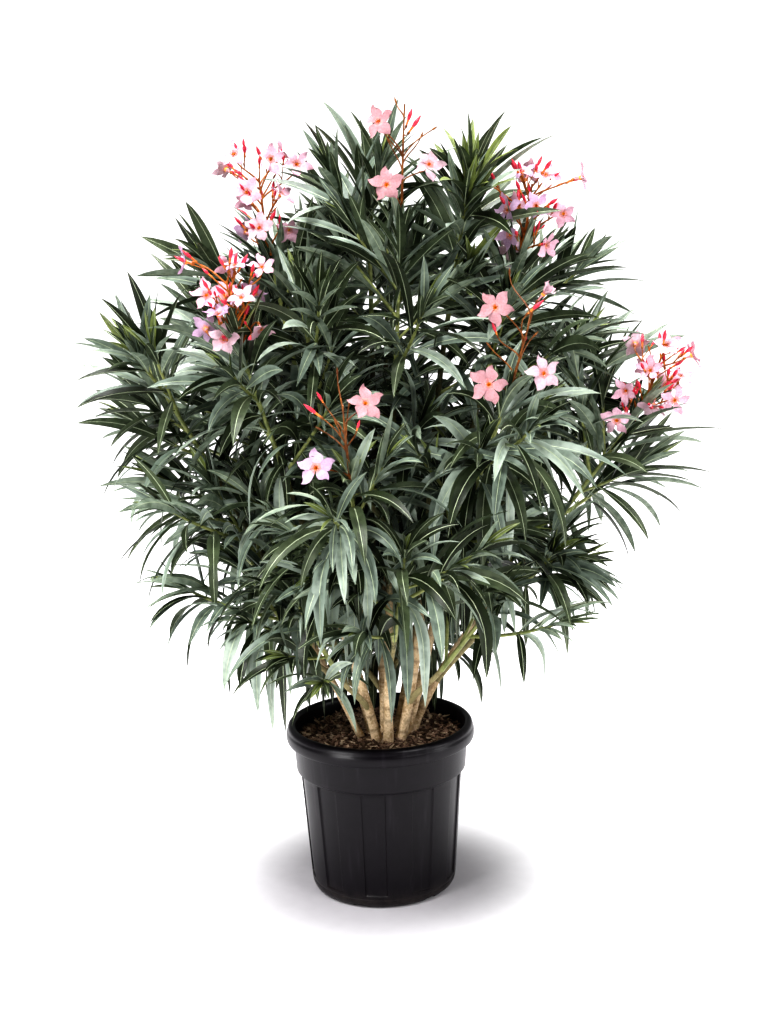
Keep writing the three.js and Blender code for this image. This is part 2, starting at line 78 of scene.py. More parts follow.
LOG = logging.getLogger("oleander")
MM = 0.001  # metres in a millimetre
UP = np.array([0.0, 0.0, 1.0])
DOWN = -UP
FULL_TURN = 2 * math.pi
SIDE_TURN = 2.4  # radians from one side shoot to the next, so that they leave all round
WHORL_TURN = 1.05  # radians from one whorl of three leaves to the next


# ---- Sizes of the plant, the same as its solids' ----


@dataclass(frozen=True)
class StemSize:
    """Where a stem leaves the soil, round the root crown, and how thick it is there."""

    heading: float
    ring: float
    radius: float


@dataclass(frozen=True)
class Mass:
    """A mass of foliage: what carries it, where its main shoot's tip is, and its flower head."""

    stem: str
    heading: float
    reach: float
    height: float
    fork: float = 0.0
    dense: float = 0.0
    open: float = 0.0
    fresh: float = 0.05  # how far down its shoots the leaves are still yellow-green
    droop: float = 1.0  # how much its leaves hang, against the common rule
    shed: float = 0.0  # the share of its leaves that are gone besides


SOIL_LEVEL = 325.0
CLEARANCE = 0.3
ROOT_CROWN = np.array([14.0, -14.0, SOIL_LEVEL + CLEARANCE])
FOCUS = np.array([0.0, 0.0, 300.0])  # the point that all shoots point away from

STEMS: dict[str, StemSize] = {
    "far_left": StemSize(-84, 54, 7.5),
    "left": StemSize(-118, 33, 11),
    "front_left": StemSize(-38, 33, 10.5),
    "centre": StemSize(4, 37, 10),
    "centre_right": StemSize(46, 38, 10.5),
    "right": StemSize(92, 38, 10),
    "far_right": StemSize(112, 57, 9.5),
    "back_right": StemSize(146, 42, 10),
    "back": StemSize(184, 44, 10.5),
    "middle": StemSize(190, 9, 11),
}

MASSES: dict[str, Mass] = {
    "top_front": Mass("centre", 34, 121, 1375, open=246),
    "top_right": Mass("centre_right", 90, 212, 1495, fresh=0.4),
    "top_left": Mass("middle", 176, 96, 1500),
    "left_crown": Mass("left", -104, 205, 1345, dense=200),
    "right_crown": Mass("right", 81, 308, 1325, dense=188),
    "back_crown": Mass("back", 172, 330, 1400),
    "back_right_crown": Mass("back_right", 128, 410, 1310),
    "left_front": Mass("front_left", -50, 315, 1165, dense=178),
    "far_left": Mass("far_left", -90, 470, 1160, fresh=0.2, droop=0.55, shed=0.1),
    "far_right": Mass("far_right", 79, 535, 1004, dense=178, droop=0.4, shed=0.15),
    "back_left_crown": Mass("middle", -147, 350, 1340, fork=0.55),
    "front_left_crown": Mass("centre", -54, 165, 1270, fork=0.6),
    "left_back": Mass("left", -124, 425, 1215, fork=0.5, droop=0.7),
    "right_back": Mass("right", 104, 480, 1130, fork=0.5, droop=0.6, shed=0.15),
    "right_front": Mass("centre_right", 41, 385, 1069, fork=0.45, open=177),
    "front": Mass("front_left", -6, 375, 941, fork=0.36, open=160),
    "back_left": Mass("middle", -137, 500, 1080, fork=0.34),
    "back": Mass("back", 176, 515, 1060, fork=0.42),
    "back_right": Mass("back_right", 140, 530, 1020, fork=0.45),
    "left_mid": Mass("far_left", -78, 335, 890, fork=0.4, droop=0.75, shed=0.1),
    "front_low": Mass("centre", 8, 405, 800, fork=0.2),
    "front_left_low": Mass("front_left", -27, 330, 690, fork=0.13),
    "left_low": Mass("left", -66, 290, 720, fork=0.13),
    "front_right_low": Mass("centre_right", 44, 350, 690, fork=0.1),
    "right_low": Mass("far_right", 74, 395, 770, fork=0.22, droop=0.85, shed=0.2),
    "back_left_low": Mass("middle", -134, 370, 770, fork=0.1),
    "back_right_low": Mass("back", 152, 380, 750, fork=0.1),
}


# ---- Small helpers ----


def unit(vectors: Array) -> Array:
    """Vectors along the last axis, each brought to length one."""
    length = np.linalg.norm(vectors, axis=-1, keepdims=True)
    return vectors / np.maximum(length, 1e-9)


def mix(low: Numbers, high: Numbers, share: Numbers) -> Numbers:
    """The value that lies a share of the way from low to high."""
    return low + (high - low) * share


def clamp_share(value: Numbers, low: float, high: float) -> Numbers:
    """How far a value is from low to high, kept between 0 and 1."""
    return np.clip((value - low) / (high - low), 0.0, 1.0)


def polar(heading: float, reach: float, height: float) -> Array:
    """A point by its heading in degrees from the front, its reach from the axis and its height."""
    angle = math.radians(heading)
    return np.array([reach * math.sin(angle), -reach * math.cos(angle), height])


def turned(vectors: Array, axes: Array, angles: Numbers) -> Array:
    """Turns each vector round its own unit axis.

    Args:
        vectors: The vectors, one a row, or a single one.
        axes: The unit axes, matched to the vectors.
        angles: The angles in radians, one a row or a single one.

    Returns:
        The turned vectors.
    """
    angles = np.asarray(angles, float)[..., None]
    cos, sin = np.cos(angles), np.sin(angles)
    along = (vectors * axes).sum(-1, keepdims=True) * axes
    return vectors * cos + np.cross(axes, vectors) * sin + along * (1 - cos)


def across(axes: Array, angles: Numbers) -> Array:
    """Unit vectors across axes.

    Args:
        axes: The unit axes, one a row, or a single one.
        angles: How far each vector is turned round its axis, in radians.

    Returns:
        The vectors, shaped as the axes are.
    """
    axes = np.asarray(axes, float)
    steep = np.abs(axes[..., 2:3]) > 0.95  # too near to upright to be crossed with UP
    helper = np.where(steep, np.array([1.0, 0.0, 0.0]), UP)
    return turned(unit(np.cross(helper, axes)), axes, angles)


def linked(name: str, data: bpy.types.ID) -> Object:
    """A new object in the scene that shows a mesh, a lamp or a camera."""
    made = bpy.data.objects.new(name, data)
    bpy.context.scene.collection.objects.link(made)
    return made


def srgb(code: str) -> tuple[float, float, float, float]:
    """A colour of six hex digits as the linear colour that a shader takes."""
    parts = [int(code[i : i + 2], 16) / 255 for i in (0, 2, 4)]
    linear = [p / 12.92 if p <= 0.04045 else ((p + 0.055) / 1.055) ** 2.4 for p in parts]
    return (linear[0], linear[1], linear[2], 1.0)


class Chance:
    """A seeded stream of numbers from 0 to 1, the same one that the solids grow from."""

    WORD = 0xFFFFFFFF

    def __init__(self, seed: int) -> None:
        """Starts the stream at a seed."""
        self._state = seed & self.WORD

    def __call__(self) -> float:
        """The next number of the stream."""
        self._state = (self._state + 0x6D2B79F5) & self.WORD
        state = self._state
        mixed = ((state ^ (state >> 15)) * (state | 1)) & self.WORD
        mixed ^= (mixed + (((mixed ^ (mixed >> 7)) * (mixed | 61)) & self.WORD)) & self.WORD
        return ((mixed ^ (mixed >> 14)) & self.WORD) / 4294967296


class Sweep:
    """A smooth curve that leaves one point and reaches another, each along its own direction."""

    PULL = 0.36
    DIVISIONS = 200

    def __init__(self, start: Array, leave: Array, end: Array, arrive: Array) -> None:
        """Lays the curve.

        Args:
            start: The point that it leaves.
            leave: The unit direction there.
            end: The point that it reaches.
            arrive: The unit direction there.
        """
        pull = float(np.linalg.norm(end - start)) * self.PULL
        self._controls = np.array([start, start + leave * pull, end - arrive * pull, end])
        self._steps = np.linspace(0, 1, self.DIVISIONS + 1)
        samples = self._at(self._steps)
        lengths = np.linalg.norm(np.diff(samples, axis=0), axis=1)
        self._reached = np.concatenate([[0.0], np.cumsum(lengths)])
        self.length = float(self._reached[-1])

    def _at(self, parameter: Numbers) -> Array:
        """Points at Bezier parameters, one a row."""
        t = np.atleast_1d(parameter)[:, None]
        a, b, c, d = self._controls
        s = 1 - t
        return s**3 * a + 3 * s * s * t * b + 3 * s * t * t * c + t**3 * d

    def _parameter(self, shares: Numbers) -> Array:
        """Bezier parameters at shares of the length."""
        return np.interp(np.atleast_1d(shares) * self.length, self._reached, self._steps)

    def points(self, shares: Numbers) -> Array:
        """Points at shares of the length, one a row."""
        return self._at(self._parameter(shares))

    def tangents(self, shares: Numbers) -> Array:
        """Unit directions at shares of the length, one a row."""
        t = self._parameter(shares)[:, None]
        a, b, c, d = self._controls
        s = 1 - t
        return unit(3 * s * s * (b - a) + 6 * s * t * (c - b) + 3 * t * t * (d - c))

    def point(self, share: float) -> Array:
        """The point at one share of the length."""
        return self.points(share)[0]

    def tangent(self, share: float) -> Array:
        """The unit direction at one share of the length."""
        return self.tangents(share)[0]


def distances(points: Array, starts: Array, ends: Array) -> Array:
    """Distances from points to straight pieces.

    Args:
        points: The points, one a row.
        starts: Where the pieces start.
        ends: Where they end.

    Returns:
        The distances, points by pieces.
    """
    along = ends - starts
    from_start = points[:, None, :] - starts[None]
    share = (from_start * along).sum(-1) / np.maximum((along**2).sum(-1), 1e-9)
    return np.linalg.norm(from_start - np.clip(share, 0, 1)[..., None] * along, axis=-1)


# ---- Shader building ----


Feed = Union[Socket, float, tuple]  # what can go into a socket


class Nodes:
    """A short way to add and join the nodes of one node tree."""

    def __init__(self, tree: bpy.types.NodeTree) -> None:
        """Takes an empty node tree."""
        self.tree = tree

    def add(self, kind: str, inputs: Optional[dict] = None, **settings: Any) -> Node:
        """Adds a node.

        Args:
            kind: The node's type name without the ShaderNode in front.
            inputs: Sockets to set, each to a value or to the socket that feeds it.
            settings: The node's own settings.

        Returns:
            The new node.
        """
        name = kind if kind.startswith("NodeGroup") else "ShaderNode" + kind
        node = self.tree.nodes.new(name)
        for key, value in settings.items():
            setattr(node, key, value)
        for key, value in (inputs or {}).items():
            self.feed(node.inputs[key], value)
        return node

    def feed(self, socket: Socket, value: Feed) -> None:
        """Sets a socket to a value, or joins it to the socket that feeds it."""
        if isinstance(value, Socket):
            self.tree.links.new(value, socket)
        else:
            socket.default_value = value

    def maths(self, operation: str, first: Feed, second: Feed = 0.0) -> Socket:
        """The result of a Math node."""
        return self.add("Math", {0: first, 1: second}, operation=operation).outputs[0]

    def blend(self, share: Feed, first: Feed, second: Feed) -> Socket:
        """A colour between two others.

        Args:
            share: How far it is from the first to the second, from 0 to 1.
            first: The first colour.
            second: The second colour.

        Returns:
            The socket that gives the colour.
        """
        node = self.add("Mix", data_type="RGBA")
        for place, value in ((0, share), (6, first), (7, second)):
            self.feed(node.inputs[place], value)
        return node.outputs[2]

    def ramp(self, value: Feed, low: float, high: float) -> Socket:
        """A value spread from 0 at low to 1 at high."""
        sockets = {"Value": value, "From Min": low, "From Max": high}
        return self.add("MapRange", sockets, interpolation_type="SMOOTHSTEP").outputs["Result"]


def make_group(name: str, inputs: Iterable[tuple],
               outputs: Iterable[tuple]) -> tuple[Nodes, dict, dict]:
    """Starts a shader node group.

    Args:
        name: The group's name.
        inputs: Names, socket types and default values of what goes in.
        outputs: Names and socket types of what comes out.

    Returns:
        The group's nodes, its input sockets by name, and its output sockets by name.
    """
    tree = bpy.data.node_groups.new(name, "ShaderNodeTree")
    for label, kind, value in inputs:
        socket = tree.interface.new_socket(label, in_out="INPUT", socket_type=kind)
        if value is not None:
            socket.default_value = value
    for label, kind in outputs:
        tree.interface.new_socket(label, in_out="OUTPUT", socket_type=kind)
    nodes = Nodes(tree)
    entry, leave = nodes.add("NodeGroupInput"), nodes.add("NodeGroupOutput")
    return nodes, dict(entry.outputs.items()), dict(leave.inputs.items())


class Effects:
    """The node groups that several finishes share, each built once."""

    def __init__(self) -> None:
        """Builds the groups."""
        self.mottle = self._mottle()
        self.veins = self._veins()

    @staticmethod
    def _mottle() -> bpy.types.NodeTree:
        """Makes two sizes of cloudy noise, as a colour between two others and as a height.

        Returns:
            The group.
        """
        nodes, given, made = make_group(
            "cloudy_mottle",
            [
                ("Coordinate", "NodeSocketVector", None),
                ("Coarse", "NodeSocketFloat", 20.0),
                ("Fine", "NodeSocketFloat", 200.0),
                ("First", "NodeSocketColor", (0.1, 0.1, 0.1, 1.0)),
                ("Second", "NodeSocketColor", (0.5, 0.5, 0.5, 1.0)),
            ],
            [("Color", "NodeSocketColor"), ("Height", "NodeSocketFloat")],
        )
        coarse = nodes.add(
            "TexNoise", {"Vector": given["Coordinate"], "Scale": given["Coarse"], "Detail": 3.0}
        )
        fine = nodes.add(
            "TexNoise", {"Vector": given["Coordinate"], "Scale": given["Fine"], "Detail": 2.0}
        )
        both = nodes.maths("ADD", coarse.outputs[0], fine.outputs[0])
        share = nodes.ramp(both, 0.72, 1.28)
        nodes.feed(made["Color"], nodes.blend(share, given["First"], given["Second"]))
        nodes.feed(made["Height"], share)
        return nodes.tree

    @staticmethod
    def _veins() -> bpy.types.NodeTree:
        """Makes fine side veins that slant up from a leaf's midrib, as a height.

        Returns:
            The group.
        """
        nodes, given, made = make_group(
            "side_veins",
            [("Blade", "NodeSocketVector", None), ("Count", "NodeSocketFloat", 60.0)],
            [("Height", "NodeSocketFloat")],
        )
        place = nodes.add("SeparateXYZ", {0: given["Blade"]})
        side = nodes.maths("ABSOLUTE", nodes.maths("SUBTRACT", place.outputs[0], 0.5))
        slant = nodes.maths("SUBTRACT", place.outputs[1], nodes.maths("MULTIPLY", side, 0.12))
        phase = nodes.maths("MULTIPLY", nodes.maths("MULTIPLY", slant, given["Count"]), FULL_TURN)
        wave = nodes.maths("MULTIPLY", nodes.maths("SINE", phase), 0.5)
        nodes.feed(made["Height"], nodes.maths("ADD", wave, 0.5))
        return nodes.tree


@dataclass(frozen=True)
class Finish:
    """A surface of two mottled colours, with its gloss, its fine relief and, on some, a painted
    glow.
    """

    name: str
    first: str
    second: str
    roughness: float = 0.5
    specular: float = 0.5
    coat: float = 0.0
    coarse: float = 25.0
    fine: float = 220.0
    relief: float = 0.15
    depth: float = 0.0004
    vein_count: float = 0.0
    # painted light: how strongly the surface gives off its own colours, as if lit through
    painted_glow: float = 0.0
    coat_roughness: float = 0.3

    def material(self, effects: Effects) -> Material:
        """Makes the material.

        Args:
            effects: The shared node groups.

        Returns:
            The new material.
        """
        material = bpy.data.materials.new(self.name)
        material.use_nodes = True
        nodes = Nodes(material.node_tree)
        shader = material.node_tree.nodes["Principled BSDF"]
        mottle = self._mottle(nodes, effects)
        nodes.feed(shader.inputs["Base Color"], self.colour(nodes, mottle))
        nodes.feed(shader.inputs["Roughness"], self.roughness)
        nodes.feed(shader.inputs["Specular IOR Level"], self.specular)
        nodes.feed(shader.inputs["Coat Weight"], self.coat)
        nodes.feed(shader.inputs["Coat Roughness"], self.coat_roughness)
        # Painted glow: the mottle's colours are given off as light, standing in for light that
        # shines through thin petals and stalks.
        if self.painted_glow:
            nodes.feed(shader.inputs["Emission Color"], mottle.outputs["Color"])
            nodes.feed(shader.inputs["Emission Strength"], self.painted_glow)
        height = mottle.outputs["Height"]
        if self.vein_count:
            blade = nodes.add("UVMap", uv_map="blade").outputs[0]
            veins = nodes.add("Group", node_tree=effects.veins)
            nodes.feed(veins.inputs["Blade"], blade)
            nodes.feed(veins.inputs["Count"], self.vein_count)
            height = nodes.maths("ADD", height, veins.outputs["Height"])
        sockets = {"Height": height, "Strength": self.relief, "Distance": self.depth}
        nodes.feed(shader.inputs["Normal"], nodes.add("Bump", sockets).outputs[0])
        return material

    def _mottle(self, nodes: Nodes, effects: Effects) -> Node:
        """Places the mottle group with this finish's values.

        Args:
            nodes: The material's nodes.
            effects: The shared node groups.

        Returns:
            The placed group.
        """
        mottle = nodes.add("Group", node_tree=effects.mottle)
        nodes.feed(mottle.inputs["Coordinate"], nodes.add("TexCoord").outputs["Object"])
        values = {"Coarse": self.coarse, "Fine": self.fine}
        values |= {"First": srgb(self.first), "Second": srgb(self.second)}
        for label, value in values.items():
            nodes.feed(mottle.inputs[label], value)
        return mottle

    def colour(self, nodes: Nodes, mottle: Node) -> Socket:
        """Gives the base colour. Plain finishes take the mottle as it is, and others change it.

        Args:
            nodes: The material's nodes.
            mottle: The placed mottle group.

        Returns:
            The socket that gives the colour.
        """
        return mottle.outputs["Color"]


@dataclass(frozen=True)
class BarkFinish(Finish):
    """Bark that is tan at the foot, green-grey higher up, and darker at the leaf scars. The
    green-grey higher up is young wood's own colour and also painted shade from the crown.
    """

    # young wood's olive, and painted shade under the crown
    shaded_young: str = "5d5c3c"
    young_shade: str = "3f4230"
    scar: str = "5a4630"
    scar_strength: float = 0.75
    tan_below: float = 0.46  # metres above the floor
    green_above: float = 0.74
    wander: float = 0.16  # how far the change of colour wanders up and down, in metres

    def colour(self, nodes: Nodes, mottle: Node) -> Socket:
        """Mixes the tan mottle towards green with height, and towards dark at the scars."""
        place = nodes.add("SeparateXYZ", {0: nodes.add("TexCoord").outputs["Object"]})
        wander = nodes.maths("MULTIPLY", mottle.outputs["Height"], self.wander)
        shift = nodes.maths("SUBTRACT", wander, self.wander / 2)
        height = nodes.maths("ADD", place.outputs[2], shift)
        # Young wood and painted shade: the bark darkens to olive as it rises into the crown.
        green = nodes.ramp(height, self.tan_below, self.green_above)
        shaded_young = nodes.blend(mottle.outputs["Height"], srgb(self.shaded_young), srgb(self.young_shade))
        body = nodes.blend(green, mottle.outputs["Color"], shaded_young)
        scar = nodes.add("Attribute", attribute_name="scar").outputs["Fac"]
        share = nodes.maths("MULTIPLY", scar, self.scar_strength)
        return nodes.blend(share, body, srgb(self.scar))


@dataclass(frozen=True)
class PlasticFinish(Finish):
    """Moulded black plastic with scuffs that run down it and a little dust at its foot."""

    dust: str = "4b443f"
    dust_height: float = 0.05  # metres above the floor
    dust_strength: float = 0.45
    scuff: str = "2c282e"
    scuff_stretch: Place = (60.0, 60.0, 3.0)

    def colour(self, nodes: Nodes, mottle: Node) -> Socket:
        """Adds upright scuffs and dust to the black."""
        where = nodes.add("TexCoord").outputs["Object"]
        stretch = {"Vector": where, "Scale": self.scuff_stretch}
        streaks = {"Vector": nodes.add("Mapping", stretch).outputs[0], "Scale": 1.0, "Detail": 4.0}
        streak = nodes.add("TexNoise", streaks).outputs[0]
        share = nodes.ramp(streak, 0.55, 0.9)
        scuffed = nodes.blend(share, mottle.outputs["Color"], srgb(self.scuff))
        height = nodes.add("SeparateXYZ", {0: where}).outputs[2]
        low = nodes.maths("SUBTRACT", 1.0, nodes.ramp(height, 0.0, self.dust_height))
        patchy = nodes.maths("MULTIPLY", mottle.outputs["Height"], self.dust_strength)
        return nodes.blend(nodes.maths("MULTIPLY", low, patchy), scuffed, srgb(self.dust))


@dataclass(frozen=True)
class LeafFinish(Finish):
    """A leaf's upper face: streaked along its length, and paler towards its edges with a painted
    highlight.
    """

    # painted highlight: the colour that the blade pales to at its edges
    edge: str = "b4c0ae"
    edge_highlight_strength: float = 0.6
    streak: float = 0.5
    streak_scale: Place = (11.0, 2.4, 30.0)  # across a leaf, along it, and from leaf to leaf

    def colour(self, nodes: Nodes, mottle: Node) -> Socket:
        """Streaks the mottle along the blade and paints a highlight along its edges."""
        blade = nodes.add("SeparateXYZ", {0: nodes.add("UVMap", uv_map="blade").outputs[0]})
        place = nodes.add("SeparateXYZ", {0: nodes.add("TexCoord").outputs["Object"]})
        ways = (blade.outputs[0], blade.outputs[1], place.outputs[0])
        where = {socket: nodes.maths("MULTIPLY", way, scale)
                 for socket, (way, scale) in enumerate(zip(ways, self.streak_scale))}
        point = nodes.add("CombineXYZ", where).outputs[0]
        noisy = nodes.add("TexNoise", {"Vector": point, "Scale": 1.0, "Detail": 2.0}).outputs[0]
        pale = nodes.maths("MULTIPLY", nodes.ramp(noisy, 0.4, 0.72), self.streak)
        streaked = nodes.blend(pale, mottle.outputs["Color"], srgb(self.second))
        # Painted highlight: the blade pales from its midrib out to its edges.
        side = nodes.maths("ABSOLUTE", nodes.maths("SUBTRACT", blade.outputs[0], 0.5))
        rim = nodes.maths("MULTIPLY", nodes.ramp(side, 0.12, 0.5), self.edge_highlight_strength)
        return nodes.blend(rim, streaked, srgb(self.edge))


class LeafTone(Enum):
    """The kinds of green that a leaf's upper face can have. Deep is the leaf's own dark green,
    dealt out also as painted shade; lit grey is a painted lit copy and silver sheen a painted
    reflection of the sky.
    """

    DEEP = 0
    GREEN = 1
    LIT_GREY = 2
    SILVER_SHEEN = 3
    FRESH = 4


UNDERSIDE, SHADED, MIDRIB = 5, 6, 7  # the places of the last three materials on a leaf

BLADE = {"coarse": 9, "fine": 60, "relief": 0.25, "depth": 0.0005, "vein_count": 70}
# Each leaf finish's edge colour is a painted highlight.
LEAF_FINISHES = (
    LeafFinish("leaf_deep", "11160d", "28311d", 0.33, 0.28, edge="2a3420", **BLADE),
    LeafFinish("leaf_green", "232b1d", "4d573f", 0.31, 0.28, edge="4c5741", **BLADE),
    # Painted light: leaf_lit_grey is a lit copy of the green, leaf_silver_sheen a painted
    # reflection of the sky.
    LeafFinish("leaf_lit_grey", "434e45", "748174", 0.34, 0.36, edge="7f8c80", **BLADE),
    LeafFinish("leaf_silver_sheen", "6d7a6f", "9fab9d", 0.36, 0.4, edge="b2beb1", **BLADE),
    LeafFinish("leaf_fresh", "4f5a32", "7d8851", 0.4, 0.4, 0.0, 9, 60, 0.2, 0.0004, 70,
               edge="93a05c"),
    Finish("leaf_underside", "667363", "939f8e", 0.6, 0.3, **BLADE | {"relief": 0.3}),
    Finish("leaf_shaded", "2d3626", "4b5640", 0.5, 0.25, **BLADE | {"relief": 0.3}),
    Finish("leaf_midrib", "9ba68a", "bdc8a8", 0.5, 0.4, 0.0, 20, 90, 0.1, 0.0002),
)
BARK = BarkFinish("stem_bark", "ac916d", "e2ccab", 0.72, 0.25, 0.0, 26, 240, 0.5, 0.001)
# The boughs darken to olive too, as young wood and painted shade.
GREEN_BARK = BarkFinish(
    "bough_bark", "857d5c", "9d946f", 0.66, 0.25, 0.0, 30, 260, 0.4, 0.0008,
    shaded_young="5d6140", tan_below=0.5, green_above=0.7,
)
TWIG = Finish("green_twig", "717a49", "979c64", 0.5, 0.4, 0.0, 18, 120, 0.2, 0.0004)
BLACK_PLASTIC = PlasticFinish(
    "black_plastic", "08040a", "0d080f", 0.36, 0.28, 0.0, 40, 700, 0.12, 0.0003
)
SOIL_DARK = Finish("compost_dark", "46362c", "6b5748", 0.9, 0.2, 0.0, 60, 400, 0.8, 0.002)
SOIL_BROWN = Finish("compost_bark", "7a6353", "9f8473", 0.85, 0.25, 0.0, 80, 500, 0.8, 0.001)
SOIL_PALE = Finish("compost_flake", "b29a82", "d2bda6", 0.85, 0.25, 0.0, 80, 500, 0.6, 0.001)
PETAL_COLOURS = {
    "petal_pink": ("c49aa9", "d6b3c1"),
    "petal_blush": ("bd9ea8", "ccb2bb"),
    "petal_lilac": ("b395b0", "c5a9c1"),
    "petal_salmon": ("a87e83", "b58f94"),
    "petal_heart": ("c4878e", "d49c98"),
}
# The petals glow a little as painted light, standing in for light shining through them.
PETAL_FINISHES = tuple(Finish(name, *pair, 0.6, 0.12, 0.0, 60, 300, 0.1, 0.0003, painted_glow=0.07)
                       for name, pair in PETAL_COLOURS.items())
BLUSH, SALMON, HEART = 1, 3, 4  # places of petal finishes
THROAT = Finish("throat_orange", "ee8a2d", "f7bd4e", 0.5, 0.3, 0.0, 90, 400, 0.1, 0.0002)
THREADS = Finish("throat_threads", "f3c9c4", "8e5a4a", 0.5, 0.3, 0.0, 200, 600, 0.1, 0.0002)
BUD_RED = Finish("bud_crimson", "b81a38", "df4258", 0.42, 0.45, 0.1, 60, 300, 0.1, 0.0003)
BUD_ORANGE = Finish("bud_base", "d2622a", "eb9040", 0.45, 0.4, 0.0, 60, 300, 0.1, 0.0003)
PAPER = Finish("studio_paper", "b0adb1", "b4b1b5", 0.9, 0.1, 0.0, 2, 30, 0.02, 0.0005)
# The stalks glow a little as painted light.
STALK_BROWN, STALK_ORANGE = (
    Finish(name, first, second, 0.5, 0.3, 0.0, 26, 120, 0.3, 0.0004, painted_glow=painted_glow)
    for name, first, second, painted_glow in (("stalk_russet", "5c3214", "8e5a2c", 0.03),
                                      ("stalk_orange", "7a3d14", "b8702f", 0.04))
)


# ---- Joined meshes ----


class Joined:
    """Many small closed shapes that become one mesh, built straight from arrays."""

    def __init__(self) -> None:
        """Starts empty."""
        self._points: list[Array] = []
        self._faces: list[Array] = []
        self._tones: list[Array] = []
        self._charts: list[Array] = []
        self._scars: list[Array] = []
        self._count = 0

    def add(self, points: Array, faces: Array, tones: Numbers, chart: Optional[Array] = None,
            scars: Optional[Array] = None) -> None:
        """Adds shapes that share their faces.

        Args:
            points: Corners in millimetres, shapes by corners by three.
            faces: Corner numbers of one shape, four a row; a triangle repeats its last corner.
            tones: The material of every face, or shapes by faces.
            chart: Map coordinates of one shape's corners.
            scars: How much of a scar each corner is, shapes by corners.
        """
        points = np.asarray(points, float)
        if points.ndim == 2:
            points = points[None]
        shapes, corners = points.shape[:2]
        starts = self._count + np.arange(shapes) * corners
        self._points.append(points.reshape(-1, 3) * MM)
        self._faces.append((faces[None] + starts[:, None, None]).reshape(-1, 4))
        self._tones.append(np.broadcast_to(tones, (shapes, len(faces))).ravel())
        chart = np.zeros((corners, 2)) if chart is None else chart
        self._charts.append(np.tile(chart, (shapes, 1)))
        scars = np.zeros((shapes, corners)) if scars is None else scars
        self._scars.append(np.broadcast_to(scars, (shapes, corners)).ravel())
        self._count += shapes * corners

    def mesh(self, name: str, materials: Iterable[Material], smooth_below: float = 50.0,
             with_scars: bool = False) -> Object:
        """Makes the joined object.

        Args:
            name: The object's name.
            materials: The materials, in the order that the tones count.
            smooth_below: Edges that fold by more than this many degrees stay sharp.
            with_scars: Whether the mesh keeps the scar attribute.

        Returns:
            The new object, at the origin.
        """
        points = np.concatenate(self._points)
        faces = np.concatenate(self._faces)
        is_triangle = faces[:, 2] == faces[:, 3]
        totals = np.where(is_triangle, 3, 4)
        keep = np.ones(faces.shape, bool)
        keep[is_triangle, 3] = False
        corners = faces[keep]
        mesh = bpy.data.meshes.new(name)
        mesh.vertices.add(len(points))
        mesh.vertices.foreach_set("co", points.astype(np.float32).ravel())
        mesh.loops.add(len(corners))
        mesh.loops.foreach_set("vertex_index", corners.astype(np.int32))
        mesh.polygons.add(len(faces))
        starts = np.concatenate([[0], np.cumsum(totals)[:-1]])
        mesh.polygons.foreach_set("loop_start", starts.astype(np.int32))
        mesh.polygons.foreach_set("material_index", np.concatenate(self._tones).astype(np.int32))
        mesh.polygons.foreach_set("use_smooth", np.ones(len(faces), bool))
        chart = np.concatenate(self._charts)[corners].astype(np.float32)
        mesh.uv_layers.new(name="blade").data.foreach_set("uv", chart.ravel())
        if with_scars:
            scar = mesh.attributes.new("scar", "FLOAT", "POINT")
            scar.data.foreach_set("value", np.concatenate(self._scars).astype(np.float32))
        for material in materials:
            mesh.materials.append(material)
        mesh.update(calc_edges=True)
        mesh.set_sharp_from_angle(angle=math.radians(smooth_below))
        LOG.info("%s: %d triangles", name, int((totals - 2).sum()))
        return linked(name, mesh)


def ring_turns(sides: int) -> Array:
    """The angles of a ring's corners."""
    return np.arange(sides) * FULL_TURN / sides


def tube_faces(rings: int, sides: int) -> Array:
    """Lists the faces of a tube.

    Args:
        rings: How many rings of corners it has.
        sides: Corners a ring.

    Returns:
        Corner numbers of its walls and of its two flat ends, four a row.
    """
    faces = []
    for ring in range(rings - 1):
        for side in range(sides):
            after = (side + 1) % sides
            low, high = ring * sides, (ring + 1) * sides
            faces.append([low + side, low + after, high + after, high + side])
    last = (rings - 1) * sides
    for side in range(1, sides - 1):
        faces.append([0, side + 1, side, side])
        faces.append([last, last + side, last + side + 1, last + side + 1])
    return np.array(faces)


def tube_points(centres: Array, radii: Array, sides: int) -> Array:
    """Corners of a round tube along a line.

    Args:
        centres: The line's points.
        radii: One radius a point, or points by sides.
        sides: Corners a ring.

    Returns:
        The corners, ring by ring.
    """
    tangents = unit(np.gradient(centres, axis=0))
    normal = across(tangents[0], 0.0)
    normals = []
    for tangent in tangents:
        normal = unit(normal - tangent * float(normal @ tangent))
        normals.append(normal)
    normals = np.array(normals)
    binormals = np.cross(tangents, normals)
    turns = ring_turns(sides)[None, :, None]
    radii = np.broadcast_to(np.reshape(radii, (len(centres), -1)), (len(centres), sides))
    ring = normals[:, None] * np.cos(turns) + binormals[:, None] * np.sin(turns)
    return (centres[:, None] + ring * radii[..., None]).reshape(-1, 3)


# ---- Growth: stems, boughs and shoots ----


@dataclass(frozen=True)
class Limb:
    """A stem or a bough: its centre line and its radius along it."""

    name: str
    curve: Sweep
    radius: Callable[[Numbers], Numbers]


@dataclass(frozen=True)
class Shoot:
    """A shoot as it is planned: where it starts and how it leans off the main one."""

    start: Array
    axis: Array
    lean: float
    angle: float
    length: float
    radius: float


